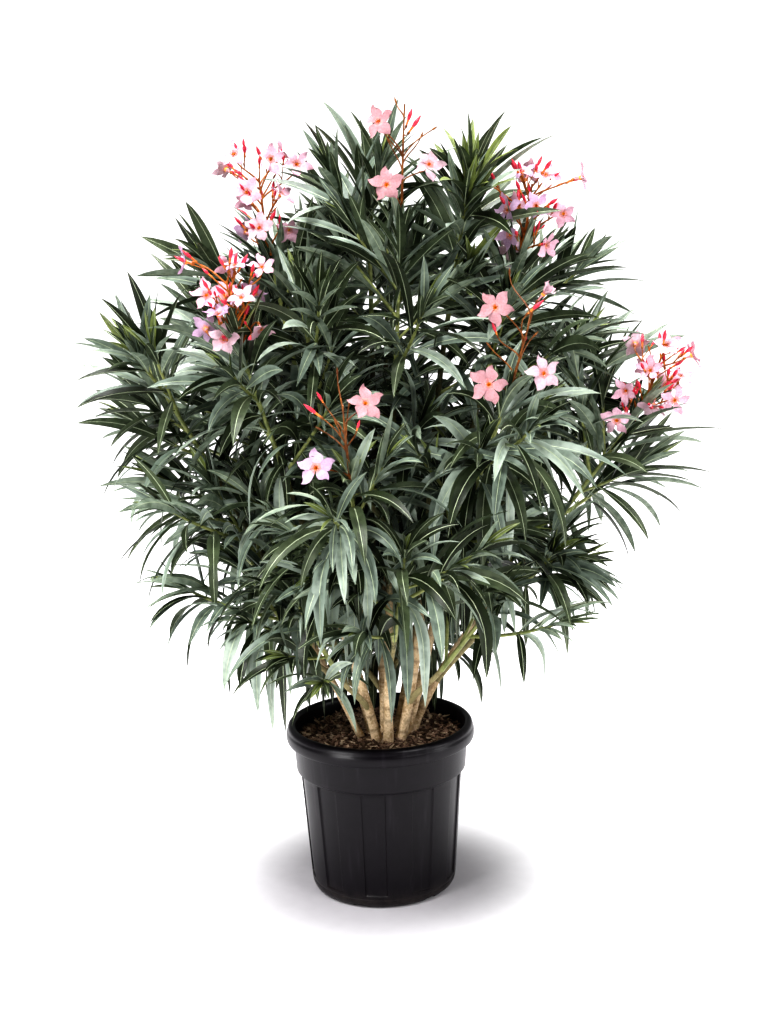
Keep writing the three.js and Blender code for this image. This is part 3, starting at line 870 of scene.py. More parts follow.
@dataclass
class Growth:
    """The rule by which the plant grows, the same as its solids', carried on to finer twigs."""

    tip_radius: float = 5.0
    flare: float = 0.2
    flare_share: float = 0.07
    bough_radius: tuple[float, float] = (7.2, 4.8)
    shoot_radius: float = 4.6
    side_radius: float = 3.4
    side_share: float = 0.78
    side_foot: tuple[float, float] = (0.08, 0.45)  # shares of the main shoot's length
    side_lean: tuple[float, float] = (52.0, 34.0)  # degrees, at the main shoot's foot and tip
    curl: float = 0.16
    space_margin: float = 1.2
    limb_margin: float = 2.5
    line_pieces: int = 16  # straight pieces that stand for a limb where others keep off it
    main_length: tuple[float, float] = (250.0, 300.0)
    main_height: tuple[float, float] = (700.0, 1300.0)

    def __post_init__(self) -> None:
        """Grows the limbs and lays out the masses' own spaces."""
        self.names = list(MASSES)
        ends = [self._axis_ends(mass) for mass in MASSES.values()]
        self._starts = np.array([start for start, _ in ends])
        self._ends = np.array([end for _, end in ends])
        self.stems = {name: self._stem(name) for name in STEMS}
        self.boughs = {name: self._bough(name) for name in MASSES if MASSES[name].fork}
        limbs = [*self.stems.values(), *self.boughs.values()]
        shares = np.linspace(0, 1, self.line_pieces + 1)
        lines = [limb.curve.points(shares) for limb in limbs]
        self._line_starts = np.concatenate([line[:-1] for line in lines])
        self._line_ends = np.concatenate([line[1:] for line in lines])
        self._line_radii = np.concatenate([limb.radius(shares[:-1]) for limb in limbs])

    def main_shoot(self, mass: Mass) -> tuple[Array, Array, Array, float]:
        """Places a mass's main shoot.

        Args:
            mass: The mass.

        Returns:
            The shoot's foot, tip, direction and length.
        """
        tip = polar(mass.heading, mass.reach, mass.height)
        direction = unit(tip - FOCUS)
        share = float(clamp_share(mass.height, *self.main_height))
        length = mix(*self.main_length, share)
        return tip - direction * length, tip, direction, length

    def _axis_ends(self, mass: Mass) -> tuple[Array, Array]:
        """The ends of the line that a mass's space lies round."""
        foot, tip, direction, _ = self.main_shoot(mass)
        return foot, tip + direction * (mass.dense or mass.open)

    def _stem(self, name: str) -> Limb:
        """Grows a stem from its foot in the soil to the foot of the mass that it leads to.

        Args:
            name: The stem's name.

        Returns:
            The stem.
        """
        size = STEMS[name]
        leader = next(m for m in MASSES.values() if m.stem == name and not m.fork)
        end, _, direction, _ = self.main_shoot(leader)
        out = polar(size.heading, 1, 0)
        foot = polar(size.heading, size.ring, 0) + ROOT_CROWN
        start = unit(UP + out * (0.1 + size.ring / 160))

        def radius(share: Numbers) -> Numbers:
            """The stem's taper with the flare at its foot."""
            flare = 1 + self.flare * np.maximum(0, 1 - np.asarray(share) / self.flare_share)
            return mix(size.radius, self.tip_radius, np.asarray(share) ** 0.9) * flare

        return Limb(f"stem_{name}", Sweep(foot, start, end, direction), radius)

    def _bough(self, name: str) -> Limb:
        """Grows a bough from the middle of its stem to the foot of its mass.

        Args:
            name: The mass's name.

        Returns:
            The bough.
        """
        mass = MASSES[name]
        stem = self.stems[mass.stem]
        end, _, direction, _ = self.main_shoot(mass)
        start = stem.curve.point(mass.fork)
        to_end = unit(end - start)
        leave = unit(stem.curve.tangent(mass.fork) + 2 * to_end)
        return Limb(f"bough_{name}", Sweep(start, leave, end, direction),
                    lambda share: mix(*self.bough_radius, np.asarray(share)))

    def is_in_space(self, points: Array, own: int) -> Array:
        """Whether each point is nearer to the mass's own axis than to any other's."""
        away = distances(points, self._starts, self._ends)
        margin = away - away[:, own : own + 1]
        margin[:, own] = np.inf
        return (margin > 2 * self.space_margin).all(axis=1)

    def is_clear(self, points: Array, radii: Numbers) -> Array:
        """Whether each point, as wide as its radius, keeps off every stem and bough."""
        gaps = distances(points, self._line_starts, self._line_ends) - self._line_radii
        return (gaps > np.reshape(radii, (-1, 1)) + self.limb_margin).all(axis=1)

    def shoots_of(self, mass: Mass, chance: Chance) -> list[Shoot]:
        """Plans the main shoot of a mass and the side shoots that leave it all round.

        Args:
            mass: The mass.
            chance: The stream of numbers that the solids draw from too.

        Returns:
            The shoots, the main one first.
        """
        foot, _, axis, length = self.main_shoot(mass)
        start = foot + axis * CLEARANCE
        shoots = [Shoot(start, axis, 0.0, 0.0, length - CLEARANCE, self.shoot_radius)]
        in_bloom = mass.dense or mass.open
        count = 3 if mass.height > max(self.main_height) and not in_bloom else 2
        first = chance() * FULL_TURN
        for i in range(count):
            at = mix(*self.side_foot, i / (count - 1))
            angle = first + i * SIDE_TURN + (chance() - 0.5) * 0.5
            reach = length * self.side_share * mix(0.8, 1.05, chance())
            lean = math.radians(mix(*self.side_lean, at))
            start = foot + axis * at * length
            shoots.append(Shoot(start, axis, lean, angle, reach, self.side_radius))
        return shoots

    def shoot_curve(self, shoot: Shoot, own: int) -> Optional[Sweep]:
        """Tries a shoot at several lengths and angles.

        Args:
            shoot: The planned shoot.
            own: The number of its mass.

        Returns:
            The first curve that stays in its space and off the limbs, or none.
        """
        tries = [(1.0, turn) for turn in (0, 0.7, -0.7, 1.4)]
        tries += [(0.8, turn) for turn in (0, 1, -1)] + [(0.6, turn) for turn in (0, 1.2)]
        for share, turn in tries:
            curve = self.rising(shoot, shoot.length * share, shoot.angle + turn)
            points = curve.points([0.25, 0.5, 0.75, 1.0])
            clear = shoot.lean == 0 or self.is_clear(points, shoot.radius).all()
            if clear and self.is_in_space(points, own).all():
                return curve
        return None

    def rising(self, shoot: Shoot, length: float, angle: float) -> Sweep:
        """Bends a shoot, which rises a little as it grows.

        Args:
            shoot: The planned shoot.
            length: Its length.
            angle: Its angle round the axis that it leaves.

        Returns:
            Its curve.
        """
        aside = across(shoot.axis, angle)
        direction = shoot.axis * math.cos(shoot.lean) + aside * math.sin(shoot.lean)
        end = shoot.start + direction * length
        end[2] += length * self.curl * (1 - abs(direction[2]))
        arrive = unit(end - shoot.start) + UP * self.curl
        return Sweep(shoot.start, direction, end, unit(arrive))


# ---- Foliage ----


@dataclass(frozen=True)
class LeafRule:
    """How long and wide leaves are, and how they stand along a shoot."""

    length: float = 210.0
    width: float = 28.5
    thickness: float = 0.7
    midrib: float = 1.0
    gap: float = 26.0
    per_whorl: int = 3
    segments: int = 9
    full_age: float = 210.0  # how far below a shoot's tip its leaves are old
    inner_gap: float = 42.0  # between the whorls on a stem or a bough
    inner_size: float = 0.95


@dataclass
class Tuft:
    """The foliage of one mass. Its lists have one entry a leaf until the leaves are made."""

    growth: Growth
    name: str
    reach: tuple[Array, Array]  # the lowest and the highest place that a leaf may reach
    twigs: Joined
    leaves: Joined
    rule: LeafRule = LeafRule()
    open_front: float = 60.0  # degrees from the front within which low leaves are fewer
    behind: float = 100.0  # degrees from the front past which a mass is at the back
    leafy_limb: float = 850.0  # masses higher than this have leaves on their limb as well
    lowest_inner: float = 660.0
    lowest_behind: float = 470.0
    bough_leafed: float = 230.0  # how much of a bough's upper end bears leaves
    stem_leafed: float = 420.0
    skirt: tuple[float, float] = (300.0, 0.95)  # how wide it hangs at its lowest, and its flare
    skirt_height: float = 400.0
    rim_height: float = 372.0  # leaves stay above this over the pot's rim
    rim_radius: float = 206.0
    soil_height: float = 334.0  # and above this over the soil inside it
    soil_radius: float = 166.0
    twig_radius: float = 2.6
    base: list[Array] = field(default_factory=list)
    axis: list[Array] = field(default_factory=list)
    angle: list[float] = field(default_factory=list)
    age: list[float] = field(default_factory=list)
    scale: list[float] = field(default_factory=list)

    def __post_init__(self) -> None:
        """Finds the mass, and starts its seeded numbers."""
        self.mass = MASSES[self.name]
        self.own = self.growth.names.index(self.name)
        self.random = np.random.default_rng(900 + self.own)

    def grow(self) -> int:
        """Grows the shoots, finer twigs and the leaves on them and on the mass's limb.

        Returns:
            How many leaves were made.
        """
        own, mass, random = self.own, self.mass, self.random
        chance = Chance(101 + own * 17)  # the seed that the solids take for this mass
        leafed = mix(0.45, 0.92, float(clamp_share(mass.height, 700, 1000)))
        if abs(mass.heading) > self.open_front:
            leafed = max(leafed, 0.8)
        for shoot in self.growth.shoots_of(mass, chance):
            curve = self.growth.shoot_curve(shoot, own)
            if curve is not None:
                self._leafy(curve, shoot.radius, leafed)
        foot, _, axis, length = self.growth.main_shoot(mass)
        for i, at in enumerate((0.3, 0.62)):
            lean = math.radians(random.uniform(34, 48))
            twig = Shoot(foot + axis * at * length, axis, lean, 2.2 + own + i * SIDE_TURN,
                         length * random.uniform(0.42, 0.55), self.twig_radius)
            curve = self.growth.shoot_curve(twig, own)
            if curve is not None:
                self._leafy(curve, twig.radius, leafed)
        is_behind = abs(mass.heading) > self.behind
        if mass.height > self.leafy_limb or is_behind:
            limb = self.growth.boughs.get(self.name) or self.growth.stems[mass.stem]
            self._inner(limb, is_behind)
        return self._make_leaves()

    def _inner(self, limb: Limb, is_behind: bool) -> None:
        """Leafs the upper part of the limb that carries a mass, and gives it short side twigs.

        Args:
            limb: The stem or bough.
            is_behind: Whether the mass is at the back, where the leaves start lower.
        """
        curve, random = limb.curve, self.random
        lowest = self.lowest_behind if is_behind else self.lowest_inner
        is_bough = limb.name.startswith("bough")
        bare = curve.length - (self.bough_leafed if is_bough else self.stem_leafed)
        first = 0.16 * curve.length if is_behind else max(0.34 * curve.length, bare)
        along = first
        turn = random.uniform(0, 6)
        while along < curve.length - 20:
            at = along / curve.length
            start, axis = curve.point(at), curve.tangent(at)
            if start[2] > lowest:
                self._whorl(start, axis, turn, 1.0, limb.radius(at), self.rule.inner_size)
            along += self.rule.inner_gap
            turn += WHORL_TURN
        for i in range(3):
            at = mix(first / curve.length, 0.92, (i + random.uniform(0.1, 0.7)) / 3)
            twig = Shoot(curve.point(at), curve.tangent(at), math.radians(random.uniform(40, 58)),
                         turn + i * SIDE_TURN, random.uniform(110, 180), self.twig_radius)
            path = self.growth.rising(twig, twig.length, twig.angle)
            clear = self.growth.is_clear(path.points([0.5, 0.8, 1.0]), 3.0).all()
            if clear and twig.start[2] > lowest:
                self._leafy(path, twig.radius, 0.85)

    def _leafy(self, curve: Sweep, radius: float, leafed: float) -> None:
        """Makes a shoot's green wood and lays out whorls of leaves from its tip down.

        Args:
            curve: The shoot's curve.
            radius: Its radius at the foot.
            leafed: The share of its length that bears leaves.
        """
        rings, sides = 9, 6
        shares = np.linspace(0, 1, rings)
        radii = mix(radius * 1.25, 2.8, shares)
        radii[-1] = 0.6  # the shoot's tip
        self.twigs.add(tube_points(curve.points(shares), radii, sides), tube_faces(rings, sides), 0)
        turn, from_tip = self.random.uniform(0, math.pi), 1.0
        while from_tip < curve.length * leafed:
            at = 1 - from_tip / curve.length
            age = min(1.0, (from_tip + 4) / self.rule.full_age)
            self._whorl(curve.point(at), curve.tangent(at), turn, age, 1.5)
            gap = self.rule.gap * mix(0.45, 1.1, min(1.0, age * 2.2))
            from_tip += gap * self.random.uniform(0.85, 1.2)
            turn += WHORL_TURN

    def _whorl(self, start: Array, axis: Array, turn: float, age: float, radius: float,
               scale: float = 1.0) -> None:
        """Lays out one whorl of leaves; some older leaves have been shed.

        Args:
            start: The point of the twig that it stands round.
            axis: The twig's direction there.
            turn: The first leaf's angle.
            age: How old the leaves are, from 0 to 1.
            radius: The twig's radius.
            scale: The leaves' length against the common one.
        """
        random = self.random
        for i in range(self.rule.per_whorl):
            if random.random() < 0.04 + 0.2 * age**1.5 + self.mass.shed:
                continue
            angle = turn + i * FULL_TURN / self.rule.per_whorl + random.normal(0, 0.16)
            foot = start - axis * random.uniform(0, 5)
            self.base.append(foot + across(axis, angle) * radius * 0.6)
            self.axis.append(axis)
            self.angle.append(angle)
            self.age.append(age)
            self.scale.append(scale)

    def _make_leaves(self) -> int:
        """Bends and shapes the leaves, and drops those that run into wood or leave the reach.

        Returns:
            How many leaves were made.
        """
        base, axis, angle, age, scale = (
            np.array(rows) for rows in (self.base, self.axis, self.angle, self.age, self.scale)
        )
        length = self._lengths(age, scale)
        points, headings = self._lines(base, axis, angle, age, length)
        kept = self._kept(points)
        for turn in (0.5, -0.6):  # the leaves that do not fit are tried again, turned and shorter
            lost = np.flatnonzero(~kept)
            if len(lost) == 0:
                break
            length[lost] *= 0.86
            again = self._lines(base[lost], axis[lost], angle[lost] + turn, age[lost],
                                length[lost])
            points[lost], headings[lost] = again
            kept[lost] = self._kept(again[0])
        chosen = np.flatnonzero(kept)
        tones = self._tones(age[chosen], points[chosen, 4, 2])
        self._blades(points[chosen], headings[chosen], axis[chosen], age[chosen], length[chosen],
                     tones)
        return len(chosen)

    def _lengths(self, age: Array, scale: Array) -> Array:
        """Draws leaf lengths: short at the shoot's tip and full a little below it."""
        full = self.rule.length * mix(0.3, 1.0, np.minimum(1.0, age * 2.6) ** 0.7)
        return full * self.random.uniform(0.64, 1.12, len(age)) * scale

    def _lines(self, base: Array, axis: Array, angle: Array, age: Array,
               length: Array) -> tuple[Array, Array]:
        """Bends the midribs of leaves, one a row.

        Args:
            base: Where each leaf starts.
            axis: The direction of the twig there.
            angle: The leaf's angle round it.
            age: How old the leaf is, from 0 to 1.
            length: Its length.

        Returns:
            The midribs' points, and the direction at each point.
        """
        count, steps, random = len(base), self.rule.segments, self.random
        high = clamp_share(base[:, 2], 850, 1250)
        opening = mix(11.0, mix(74.0, 60.0, high), age**0.75) + random.normal(0, 9, count)
        droop = age**0.65 * mix(142.0, 30.0, high) * random.uniform(0.6, 1.15, count)
        droop = (droop + random.uniform(0, 16, count)) * self.mass.droop
        early = clamp_share(droop, 30, 110)
        opening, droop = np.radians(opening), np.radians(droop)
        sideways = np.radians(random.normal(0, 9, count))
        direction = axis * np.cos(opening)[:, None] + across(axis, angle) * np.sin(opening)[:, None]
        points, headings = [base], [direction]
        for i in range(1, steps + 1):
            along = i / steps
            turn = (droop / steps) * mix(0.4 + 1.2 * along, 1.6 - 1.1 * along, early)
            fall = np.arccos(np.clip(direction @ DOWN, -1, 1))
            hinge = unit(np.cross(direction, DOWN))
            direction = turned(direction, hinge, np.minimum(turn, fall * 0.8))
            upright = np.broadcast_to(UP, direction.shape)
            direction = unit(turned(direction, upright, sideways / steps))
            points.append(points[-1] + direction * (length / steps)[:, None])
            headings.append(direction)
        return np.stack(points, axis=1), np.stack(headings, axis=1)

    def _kept(self, points: Array) -> Array:
        """Whether leaves keep off the wood, the pot and the soil, and within the reach.

        Args:
            points: The midribs, leaves by points by three.

        Returns:
            One answer a leaf.
        """
        probes = points[:, 3:].reshape(-1, 3)
        clear = self.growth.is_clear(probes, 4.0).reshape(len(points), -1).all(axis=1)
        low, high = self.reach
        inside = ((points > low) & (points < high)).all(axis=(1, 2))
        out, height = np.hypot(points[..., 0], points[..., 1]), points[..., 2]
        in_pot = (height < self.rim_height) & (out < self.rim_radius)
        over_soil = (out < self.soil_radius) & (height > self.soil_height)
        wide, flare = self.skirt
        beyond = out > wide + np.maximum(0, height - self.skirt_height) * flare
        return clear & inside & ~(in_pot & ~over_soil).any(axis=1) & ~beyond.any(axis=1)

    def _tones(self, age: Array, height: Array) -> Array:
        """Draws leaf tones: darker high in the crown, with the painted light of lit grey and silver
        sheen more common low down, fresh at the tips.

        Args:
            age: How old each leaf is, from 0 to 1.
            height: Its height above the floor.

        Returns:
            The places of the leaves' materials.
        """
        low = 1 - clamp_share(height, 650, 1250)
        roll = self.random.random(len(age))
        # Lit grey and silver sheen are painted light; deep also stands for painted shade.
        silver = mix(0.2, 0.22, low)
        grey = silver + mix(0.32, 0.34, low)
        green = grey + 0.22
        tones = np.full(len(age), LeafTone.DEEP.value)
        tones[roll < green] = LeafTone.GREEN.value
        tones[roll < grey] = LeafTone.LIT_GREY.value
        tones[roll < silver] = LeafTone.SILVER_SHEEN.value
        is_fresh = (age < self.mass.fresh) & ((roll > 0.3) | (age < 0.05))
        tones[is_fresh] = LeafTone.FRESH.value
        return tones

    def _blades(self, points: Array, headings: Array, axis: Array, age: Array, length: Array,
                tones: Array) -> None:
        """Gives midribs their blades: two folded halves, a pale rib between and a keel below.

        Args:
            points: The midribs, leaves by points by three.
            headings: The directions at those points.
            axis: The direction of each leaf's twig.
            age: How old each leaf is, from 0 to 1.
            length: Its length.
            tones: The material of its upper face.
        """
        random = self.random
        count, stations = points.shape[:2]
        share = np.linspace(0, 1, stations)
        first = headings[:, 0]
        side = unit(np.cross(first, axis))
        level = np.cross(first, np.broadcast_to(UP, first.shape))
        level *= np.where((level * side).sum(-1, keepdims=True) < 0, -1.0, 1.0)
        steep = np.abs(first[:, 2:3]) ** 3
        side = unit(mix(unit(level), side, np.clip(0.35 + steep, 0, 1)))
        roll = np.radians(random.normal(0, 24, count))[:, None]
        twist = np.radians(random.normal(0, 20, count))[:, None] * share[None]
        sides = side[:, None, :] - (side[:, None, :] * headings).sum(-1, keepdims=True) * headings
        sides = turned(unit(sides), headings, roll + twist)
        uppers = np.cross(sides, headings)
        profile = np.sin(math.pi * np.clip((share - 0.03) / 0.97, 0, 1) ** 0.9) ** 0.8
        size = np.minimum(1.0, mix(0.12, 1.0, length / self.rule.length))
        size = (size * random.uniform(0.84, 1.16, count))[:, None]
        half = np.maximum(profile[None] * (self.rule.width / 2) * size, 1.5 * (1 - share) + 0.25)
        fold = np.radians(mix(34.0, 13.0, np.minimum(1, age * 1.6)) + random.normal(0, 4, count))
        fold = fold[:, None] * mix(1.0, 0.6, share)[None]
        rib = np.minimum(mix(self.rule.midrib, 0.3, share)[None], half * 0.45)
        out, lift, flat = half * np.cos(fold), half * np.sin(fold), np.zeros_like(half)
        keel = self.rule.thickness * mix(1.9, 0.8, share)[None]

        def corner(across_by: Array, up_by: Array) -> Array:
            """Corners beside the line, shifted across and up."""
            return points + sides * across_by[..., None] + uppers * up_by[..., None]

        rings = np.stack([corner(-out, lift), corner(-rib, flat), corner(rib, flat),
                          corner(out, lift), corner(rib, -keel), corner(-rib, -keel)], axis=2)
        faces, kinds = self._blade_faces(stations)
        # Leaves in the painted lit tones show the pale underside, the others the painted-shade
        # underside.
        is_lit_tone = (tones == LeafTone.LIT_GREY.value) | (tones == LeafTone.SILVER_SHEEN.value)
        backs = np.where(is_lit_tone, UNDERSIDE, SHADED)[:, None]
        face_tones = np.where(kinds[None] == 0, tones[:, None], kinds[None])
        face_tones = np.where(kinds[None] == UNDERSIDE, backs, face_tones)
        breadth = np.array([0, 0.45, 0.55, 1, 0.55, 0.45])
        chart = np.stack(np.broadcast_arrays(breadth[None], share[:, None]), -1)
        self.leaves.add(rings.reshape(count, -1, 3), faces, face_tones, chart.reshape(-1, 2))

    @staticmethod
    def _blade_faces(stations: int) -> tuple[Array, Array]:
        """The triangles of one blade and what each one is: upper face, midrib or underside.

        The diagonals above and below match, so that a twisted blade stays in front of its own back.

        Args:
            stations: How many rings of six corners the blade has.

        Returns:
            The triangles, each with its last corner twice, and their kinds.
        """
        faces, kinds = [], []
        for i in range(stations - 1):
            a, b = i * 6, (i + 1) * 6
            strips = (
                ((a, b, b + 1), (a, b + 1, a + 1), 0),
                ((a + 1, b + 1, b + 2), (a + 1, b + 2, a + 2), MIDRIB),
                ((a + 2, b + 2, a + 3), (b + 2, b + 3, a + 3), 0),
                ((a + 3, b + 3, b + 4), (a + 3, b + 4, a + 4), UNDERSIDE),
                ((a + 4, b + 4, b + 5), (a + 4, b + 5, a + 5), MIDRIB),
                ((a + 5, b + 5, a), (b + 5, b, a), UNDERSIDE),
            )
            for first, second, kind in strips:
                faces += [[*first, first[2]], [*second, second[2]]]
                kinds += [kind, kind]
        last = (stations - 1) * 6
        for j in range(1, 5):
            faces += [[0, j, j + 1, j + 1], [last + 5, last + 5 - j, last + 4 - j, last + 4 - j]]
            kinds += [MIDRIB, MIDRIB]
        return np.array(faces), np.array(kinds)


# ---- Bark ----


@dataclass(frozen=True)
class BarkRule:
    """The relief of the bark: its ripples and its rings of leaf scars."""

    step: float = 5.5
    scar_gap: float = 30.0
    ripple: float = 0.045
    ripple_length: float = 26.0
    ring: float = 0.075
    bury: float = 9.0  # how deep a stem's foot goes into the soil

    def add(self, limb: Limb, wood: Joined, seed: int, sides: int) -> None:
        """Adds one limb with its relief.

        Args:
            limb: The limb.
            wood: The joined mesh that it goes into.
            seed: Where in the noise its ripples are read.
            sides: Corners a ring.
        """
        count = int(limb.curve.length / self.step) + 2
        shares = np.linspace(0, 1, count)
        centres = limb.curve.points(shares)
        if limb.name.startswith("stem"):
            foot = centres[0] - limb.curve.tangent(0) * self.bury
            centres = np.concatenate([[foot], centres])
            shares = np.concatenate([[0.0], shares])
        along = shares * limb.curve.length
        turns = ring_turns(sides)
        gap = self.scar_gap * (1 + 0.12 * np.sin(along / 140 + seed))
        phase = np.cumsum(np.gradient(along) / gap)
        beat = phase - np.round(phase)
        ring = np.exp(-((beat / 0.07) ** 2))
        third = turns[None] + np.round(phase)[:, None] * WHORL_TURN
        scar = np.exp(-(((beat + 0.05) / 0.1) ** 2))[:, None]
        scar = scar * np.maximum(0, np.cos(third * 3)) ** 3
        seeds = [(math.cos(turn) * 2 + seed * 7, math.sin(turn) * 2) for turn in turns]
        ripple = np.array([[noise.noise(Vector((x, y, height / self.ripple_length)))
                            for x, y in seeds] for height in along])
        swell = 1 + self.ripple * ripple + self.ring * (0.6 * ring[:, None] + 0.8 * scar)
        radii = limb.radius(shares)[:, None] * swell
        mask = np.clip(0.75 * np.exp(-(((beat - 0.1) / 0.05) ** 2))[:, None] + 0.7 * scar, 0, 1)
        points = tube_points(centres, radii, sides)
        wood.add(points, tube_faces(len(centres), sides), 0, scars=mask.reshape(1, -1))


# ---- Blossom ----


class Bloom(Enum):
    """What a flower stalk can end in."""

    FLOWER = "flower"
    BUD = "bud"
    SPENT = "spent"
    FADED = "faded"


FLOWER, BUD, SPENT, FADED = Bloom


@dataclass(frozen=True)
class Ray:
    """A ray of an open flower head: where it leaves the stalk, where it ends and in what."""

    rise: float  # share of the stalk's height
    end: Place  # from the shoot's tip: right, back, up
    bloom: Bloom
    facing: Place
    size: float = 1.0
    tone: int = SALMON


OPEN_HEADS: dict[str, tuple[Ray, ...]] = {
    "top_front": (
        Ray(0.62, (-38, -30, 205), FLOWER, (-0.3, -0.85, 0.4)),
        Ray(0.22, (-26, -46, 88), FLOWER, (-0.15, -0.97, 0.1), 1.04),
        Ray(0.42, (56, -30, 124), FLOWER, (0.2, -0.9, 0.35), 0.96, 1),
        Ray(0.8, (14, 0, 196), BUD, (0.35, -0.1, 0.92), 1.1),
        Ray(0.76, (18, 3, 184), BUD, (0.6, -0.1, 0.78), 1.25),
        Ray(0.6, (64, 5, 190), SPENT, (0.85, 0, 0.5)),
        Ray(0.55, (42, 4, 176), SPENT, (0.4, -0.1, 0.9)),
        Ray(0.6, (-24, 0, 182), BUD, (-0.5, 0, 0.85), 0.6),
        Ray(0.9, (-3, 0, 240), SPENT, (-0.25, 0, 0.97)),
        Ray(0.5, (-18, 6, 168), SPENT, (-0.4, 0, 0.9)),
    ),
    "right_front": (
        Ray(0.7, (-24, -44, 166), FLOWER, (-0.25, -0.95, 0.1), 1.02),
        Ray(0.1, (-38, -58, 30), FLOWER, (-0.1, -0.96, 0.22), 1.08),
        Ray(0.25, (62, -44, 46), FLOWER, (0.25, -0.93, 0.25), 1.0, 1),
        Ray(0.6, (34, -20, 150), BUD, (0.75, -0.1, 0.62), 1.25),
        Ray(0.5, (-18, -22, 112), BUD, (-0.35, -0.1, 0.9), 0.85),
        Ray(0.75, (66, -14, 186), FADED, (0.6, -0.3, 0.7)),
        Ray(0.95, (6, -6, 222), SPENT, (0, 0, 1)),
        Ray(0.4, (48, -6, 110), SPENT, (0.7, 0, 0.7)),
        Ray(0.35, (28, -16, 96), BUD, (0.3, -0.3, 0.9), 0.6),
        Ray(0.3, (-30, -6, 92), SPENT, (-0.6, 0, 0.8)),
    ),
    "front": (
        Ray(0.75, (32, -34, 136), FLOWER, (0.1, -0.9, 0.4), 0.98),
        Ray(0.06, (-58, -50, 26), FLOWER, (-0.1, -0.96, 0.2), 1.04, 2),
        Ray(0.5, (-44, -36, 112), BUD, (-0.75, -0.15, 0.62), 1.25),
        Ray(0.62, (-40, -20, 134), BUD, (-0.5, 0, 0.85), 0.8),
        Ray(0.45, (14, -30, 84), BUD, (0.3, -0.1, 0.93), 0.7),
        Ray(0.9, (-16, -14, 186), SPENT, (0, 0, 1)),
        Ray(0.4, (-48, -10, 88), SPENT, (-0.8, 0, 0.5)),
        Ray(0.5, (2, -14, 128), SPENT, (0.2, 0, 0.97)),
        Ray(0.35, (-20, -8, 96), SPENT, (-0.4, 0, 0.9)),
    ),
}


DENSE_HEADS: dict[str, tuple[Place, ...]] = {
    "left_crown": ((-260, 20, 1538), (-186, 10, 1526), (-135, 20, 1515), (-212, -15, 1392),
                   (-154, -10, 1387), (-236, 5, 1462), (-168, -5, 1455)),
    "left_front": ((-245, -215, 1321), (-194, -220, 1316), (-300, -215, 1267), (-269, -235, 1186),
                   (-199, -230, 1202), (-337, -205, 1329), (-232, -250, 1262), (-276, -240, 1232)),
    "right_crown": ((307, -70, 1484), (351, -75, 1477), (420, -65, 1470), (280, -95, 1364),
                    (348, -100, 1343), (276, -80, 1412), (330, -95, 1418), (384, -85, 1402)),
    "far_right": ((578, -120, 1145), (630, -110, 1123), (497, -140, 1061), (550, -145, 1030),
                  (592, -140, 1039), (479, -140, 1003), (545, -135, 1098), (606, -125, 1084)),
}  # where the flowers of the full heads open, in millimetres

FLOWER_SHARES = (0.5, 0.28, 0.22)  # of pink, blush and lilac flowers in the full heads
BROWN_STALK, ORANGE_STALK = 0, 1  # on the open heads and on the full ones


